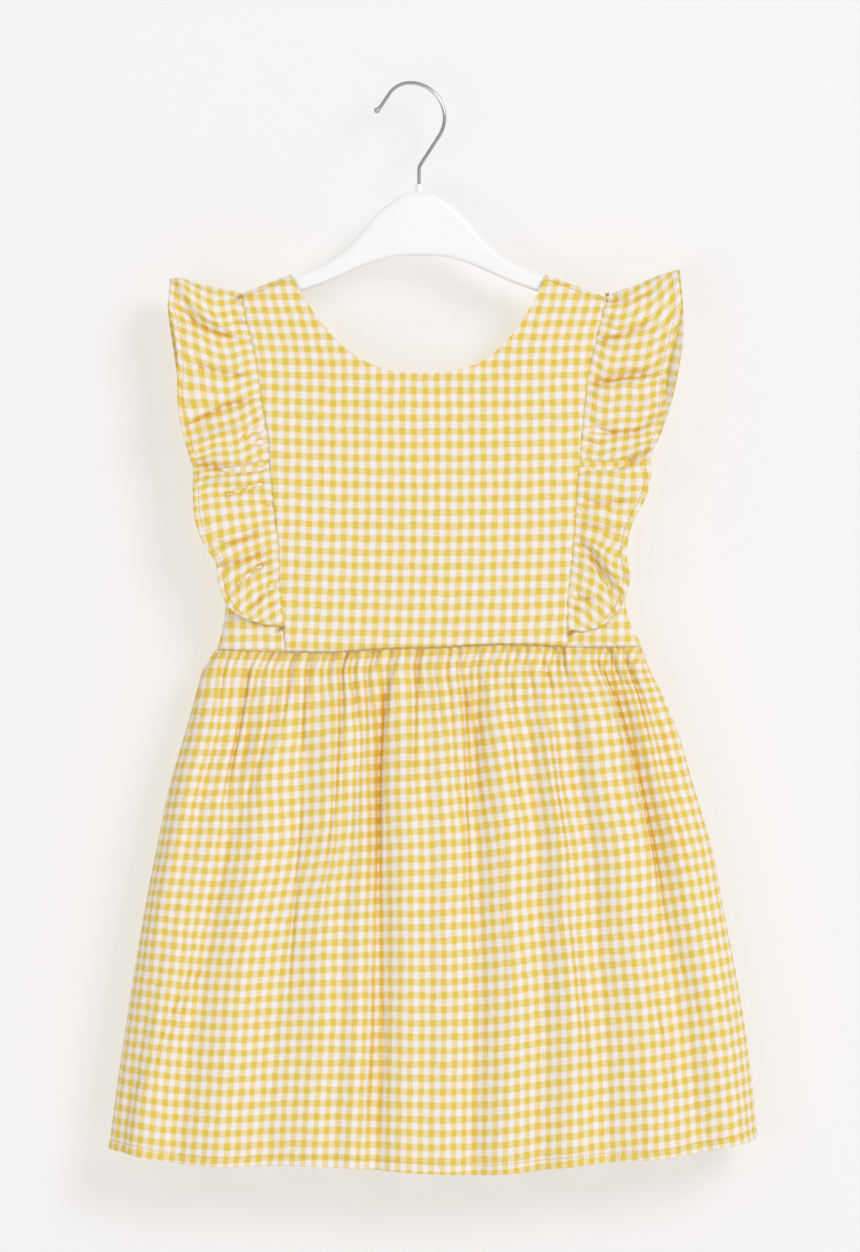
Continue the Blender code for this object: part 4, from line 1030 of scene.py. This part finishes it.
def add_ruffles(cotton, sewing):
    for hand, name in HANDS.items():
        points, places, shade, area = ruffle_points(hand)
        add_cloth(
            f"ruffle_{name}", points, places, cotton, hand > 0, "gathered", area, shade
        )
        width = np.linalg.norm(points[-1] - points[0], axis=1)
        inward = (points[-4] - points[-1]) * (RUFFLE_HEM_DEEP / (width * 3 / (RUFFLE_ROWS - 1)))[:, None]
        normals = -hand * grid_normals(points)
        line = (points[-1] + inward)[12:-12]
        add_stitches(f"ruffle_{name}_hem_stitches", line, normals[-4, 12:-12], sewing)


def arc(centre, radius, start, end, count):
    angles = np.radians(np.linspace(start, end, count))
    return [np.array((centre[0] + radius * np.cos(a), 0.0, centre[1] + radius * np.sin(a))) for a in angles]


def hook_line():
    """Points of the wire from the middle of the ball on its open end to the stem in the hanger."""
    turn = np.radians(HOOK_NOSE_TURN)
    bend = arc((0.0, HOOK_WIRE - HOOK_NOSE_BEND), HOOK_NOSE_BEND, 90 + HOOK_NOSE_TURN, 90, 28)
    straight = bend[0] + np.array((-np.cos(turn), 0.0, -np.sin(turn))) * HOOK_NOSE
    lip_centre = straight + HOOK_LIP_BEND * np.array((-np.sin(turn), 0.0, np.cos(turn)))
    first = HOOK_NOSE_TURN - 90
    lip = arc((lip_centre[0], lip_centre[2]), HOOK_LIP_BEND, first - HOOK_LIP_TURN, first, LIP_POINTS)
    points = lip + bend[:-1] + arc((0.0, HOOK_WIRE - HOOK_BEND), HOOK_BEND, 90, HOOK_SLANT_ANGLE, 56)
    slant = np.radians(HOOK_SLANT_ANGLE)
    way = np.array((np.sin(slant), 0.0, -np.cos(slant)))
    corner = points[-1] + way * ((points[-1][0] - HANGER_MIDDLE) / -way[0])
    end = corner - np.array((0.0, 0.0, HOOK_STEM_BEND * np.tan(-slant / 2)))
    points += arc((end[0] + HOOK_STEM_BEND, end[2]), HOOK_STEM_BEND, 180 + HOOK_SLANT_ANGLE, 180, 14)
    points.append(np.array((HANGER_MIDDLE, 0.0, -HOOK_STEM_END)))
    return points


def add_hook(steel):
    """The wire hook, from the ball on its open end to the stem in the hanger."""
    points = hook_line()
    tip = points[0]
    inward = unit(points[1] - tip)
    radius = HOOK_BALL["radius"]
    angles = np.radians(np.linspace(172, 35, HOOK_BALL["steps"]))
    ball = [tip + inward * radius * (1 + np.cos(angle)) for angle in angles]
    step = HOOK_LIP_BEND * np.radians(HOOK_LIP_TURN) / (LIP_POINTS - 1)
    points = ball + points[1 + int(1.9 * radius / step) :]
    curve = bpy.data.curves.new("hook_wire", "CURVE")
    curve.dimensions = "3D"
    curve.bevel_depth = HOOK_WIRE * METRES
    curve.bevel_resolution = 5
    curve.use_fill_caps = True
    spline = curve.splines.new("POLY")
    spline.points.add(len(points) - 1)
    for point, place in zip(spline.points, points):
        point.co = (*(place * METRES), 1)
    for point, swell in zip(spline.points, radius * np.sin(angles) / HOOK_WIRE):
        point.radius = swell
    spline.use_smooth = True
    add_piece("hook_wire", curve, steel, "hook_steel", "hanger_hook")


def ring_faces(rings, around, first=0):
    """Faces between closed rings of points; first is the number of the first point."""
    faces = []
    for low in range(first, first + (rings - 1) * around, around):
        for j in range(around):
            k = (j + 1) % around
            faces.append((low + j, low + k, low + around + k, low + around + j))
    return faces


def add_hanger(plastic):
    """The moulded hanger, with rounded edges and a neck round the hook's stem."""
    distance = np.concatenate((np.linspace(0, 140, 57), np.linspace(142, 149, 6)))
    upper, lower = read(HANGER, 1, distance), read(HANGER, 2, distance)
    upper[-5:] += np.linspace(0, 1, 5) ** 2.5 * 1.5
    around = 32
    angles = np.linspace(0, 2 * np.pi, around + 1)[:-1]
    round_parts = (np.cos(angles), np.sin(angles))
    across, up = (np.sign(part) * np.abs(part) ** HANGER_ROUNDING for part in round_parts)
    rings = []
    for hand, order in ((-1, slice(None, 0, -1)), (1, slice(None))):
        for place, top, bottom in zip(hand * distance[order], upper[order], lower[order]):
            x = np.full(around, HANGER_MIDDLE + place)
            z = up * (bottom - top) / 2 - (top + bottom) / 2
            rings.append(np.stack((x, across * HANGER_THICKNESS / 2, z), axis=1))
    faces = ring_faces(len(rings), around)
    last = (len(rings) - 1) * around
    faces += [tuple(range(around))[::-1], tuple(range(last, last + around))]
    mesh = bpy.data.meshes.new("hanger_moulding")
    mesh.from_pydata((np.concatenate(rings) * METRES).tolist(), [], faces)
    shape = bmesh.new()
    shape.from_mesh(mesh)
    bmesh.ops.recalc_face_normals(shape, faces=shape.faces)
    steps = 28
    neck = []
    for radius, drop in HANGER_NECK:
        for angle in 2 * np.pi * np.arange(steps) / steps:
            place = np.array((HANGER_MIDDLE + radius * np.cos(angle), radius * np.sin(angle), -drop))
            neck.append(shape.verts.new(tuple(place * METRES)))
    for face in ring_faces(len(HANGER_NECK), steps):
        shape.faces.new([neck[corner] for corner in face])
    shape.to_mesh(mesh)
    shape.free()
    mesh.shade_smooth()
    add_piece("hanger_moulding", mesh, plastic, "hanger_plastic", "hanger")


def add_stitches(name, line, normals, material, sizes=STITCH):
    """A row of stitches along a line of points, each a short low bar that dips at its ends."""
    length, gap, width = sizes
    steps = run_along(*line.T)
    normals = np.broadcast_to(normals, line.shape)
    around = 6
    vertices, faces = [], []

    def there(values, at):
        return np.array([np.interp(at, steps, values[:, axis]) for axis in range(3)])

    for start in np.arange(gap, steps[-1] - length - gap, length + gap):
        faces += ring_faces(len(STITCH_PROFILE), around, len(vertices))
        for part, lift in STITCH_PROFILE:
            at = start + length * (part + 0.5)
            place, out = there(line, at), there(normals, at)
            way = place - there(line, at - 0.6)
            beside = np.cross(way / max(np.linalg.norm(way), 1e-6), out)
            for angle in 2 * np.pi * np.arange(around) / around:
                move = beside * np.cos(angle) * width / 2 + out * (np.sin(angle) / 2 + lift) * width
                vertices.append(tuple((place + move) * METRES))
    mesh = bpy.data.meshes.new(name)
    mesh.from_pydata(vertices, [], faces)
    mesh.shade_smooth()
    add_piece(name, mesh, material, "checked_cotton")


def add_tacks(sewing):
    """The dense bars of thread that hold the ruffles' ends."""
    for index, (x, drop, half) in enumerate(TACKS):
        across = np.linspace(-half, half, 9)
        y = -float(section(np.array(x), np.array(drop))) - 1.2 - 0.25 * (index > 1)
        line = np.stack((x + across, np.full(9, y), -drop + 0.25 * across), axis=1)
        for row, lift in enumerate((-0.9, -0.3, 0.3, 0.9)):
            add_stitches(f"tack_{index}_{row}", line + (0, 0, lift), (0.0, -1.0, 0.0), sewing, TACK_STITCH)


def finish_nodes(shell, cord):
    for name, material in (("back_button", shell), ("button_loop", cord)):
        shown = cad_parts[name]
        if not shown.material_slots:
            shown.data.materials.append(material)
        for place in shown.material_slots:
            place.material = material


# The room, the light and the camera.


def add_stage():
    """A pale wall just behind the dress, open from behind, and a pale floor below it."""
    paint, tree, shader = new_material("wall_paint", 0.95)
    glow = {"Emission Color": linear(255, 251, 229), "Emission Strength": WALL_GLOW}
    plug(tree, shader, {"Base Color": linear(170, 171, 187), "Specular IOR Level": 0.0} | glow)
    back = node(tree, "ShaderNodeNewGeometry").outputs["Backfacing"]
    clear = node(tree, "ShaderNodeBsdfTransparent").outputs[0]
    mixed = node(tree, "ShaderNodeMixShader", {0: back, 1: shader.outputs[0], 2: clear})
    plug(tree, tree.nodes["Material Output"], {"Surface": mixed.outputs[0]})
    floor_paint, _, floor_shader = new_material("floor_paint", 0.9)
    floor_shader.inputs["Base Color"].default_value = linear(232, 230, 230)
    low, high, away = FLOOR_HEIGHT, WALL_TOP, WALL_PLACE
    wall = [(-3, away, low), (3, away, low), (3, away, high), (-3, away, high)]
    floor = [(-5, -5, low), (5, -5, low), (5, 5, low), (-5, 5, low)]
    for name, corners, material in (("wall", wall, paint), ("floor", floor, floor_paint)):
        mesh = bpy.data.meshes.new(name)
        mesh.from_pydata(corners, [], [(0, 1, 2, 3)])
        made = add_object(name, mesh, material)
        made.visible_shadow = name != "wall"


def add_light():
    world = bpy.data.worlds.new("soft_room")
    world.use_nodes = True
    sky = world.node_tree.nodes["Background"]
    sky.inputs[0].default_value = linear(250, 249, 250)
    sky.inputs[1].default_value = SKY
    bpy.context.scene.world = world
    for name, place, size, power in LAMPS:
        lamp = bpy.data.lights.new(name, "AREA")
        lamp.size = size
        lamp.energy = power
        made = add_object(name, lamp)
        made.location = place
        way = np.array(LOOKED_AT) - np.array(place)
        tilt = math.atan2(math.hypot(way[0], way[1]), -way[2])
        made.rotation_euler = (tilt, 0, math.atan2(-way[0], way[1]))


def add_camera():
    data = bpy.data.cameras.new("camera")
    data.sensor_width = 36.0
    data.lens = 36.0 * CAMERA_AWAY / VIEW_TALL
    camera = add_object("camera", data)
    camera.location = (LOOKED_AT[0], -CAMERA_AWAY, LOOKED_AT[2])
    camera.rotation_euler = (math.pi / 2, 0, 0)
    bpy.context.scene.camera = camera
    bpy.context.scene.view_settings.view_transform = "Standard"


def main():
    cotton = check_cotton("gingham_cotton", CHECK_PHASE)
    sewing = thread("sewing_thread", linear(236, 206, 104))
    add_bodice(cotton, sewing)
    add_skirts(cotton, sewing, thread("seam_thread", linear(226, 188, 92)))
    add_ruffles(cotton, sewing)
    add_tacks(thread("tack_thread", linear(212, 174, 82)))
    add_hanger(moulded("hanger_white", linear(247, 247, 247), 0.38, 30.0, 0.0001))
    add_hook(drawn_steel("hook_steel_wire"))
    shell = moulded("button_pearl", linear(236, 226, 196), 0.22, 260.0, 0.00008)
    finish_nodes(shell, thread("loop_cord", linear(*YARN_YELLOW)))
    add_stage()
    add_light()
    add_camera()


main()
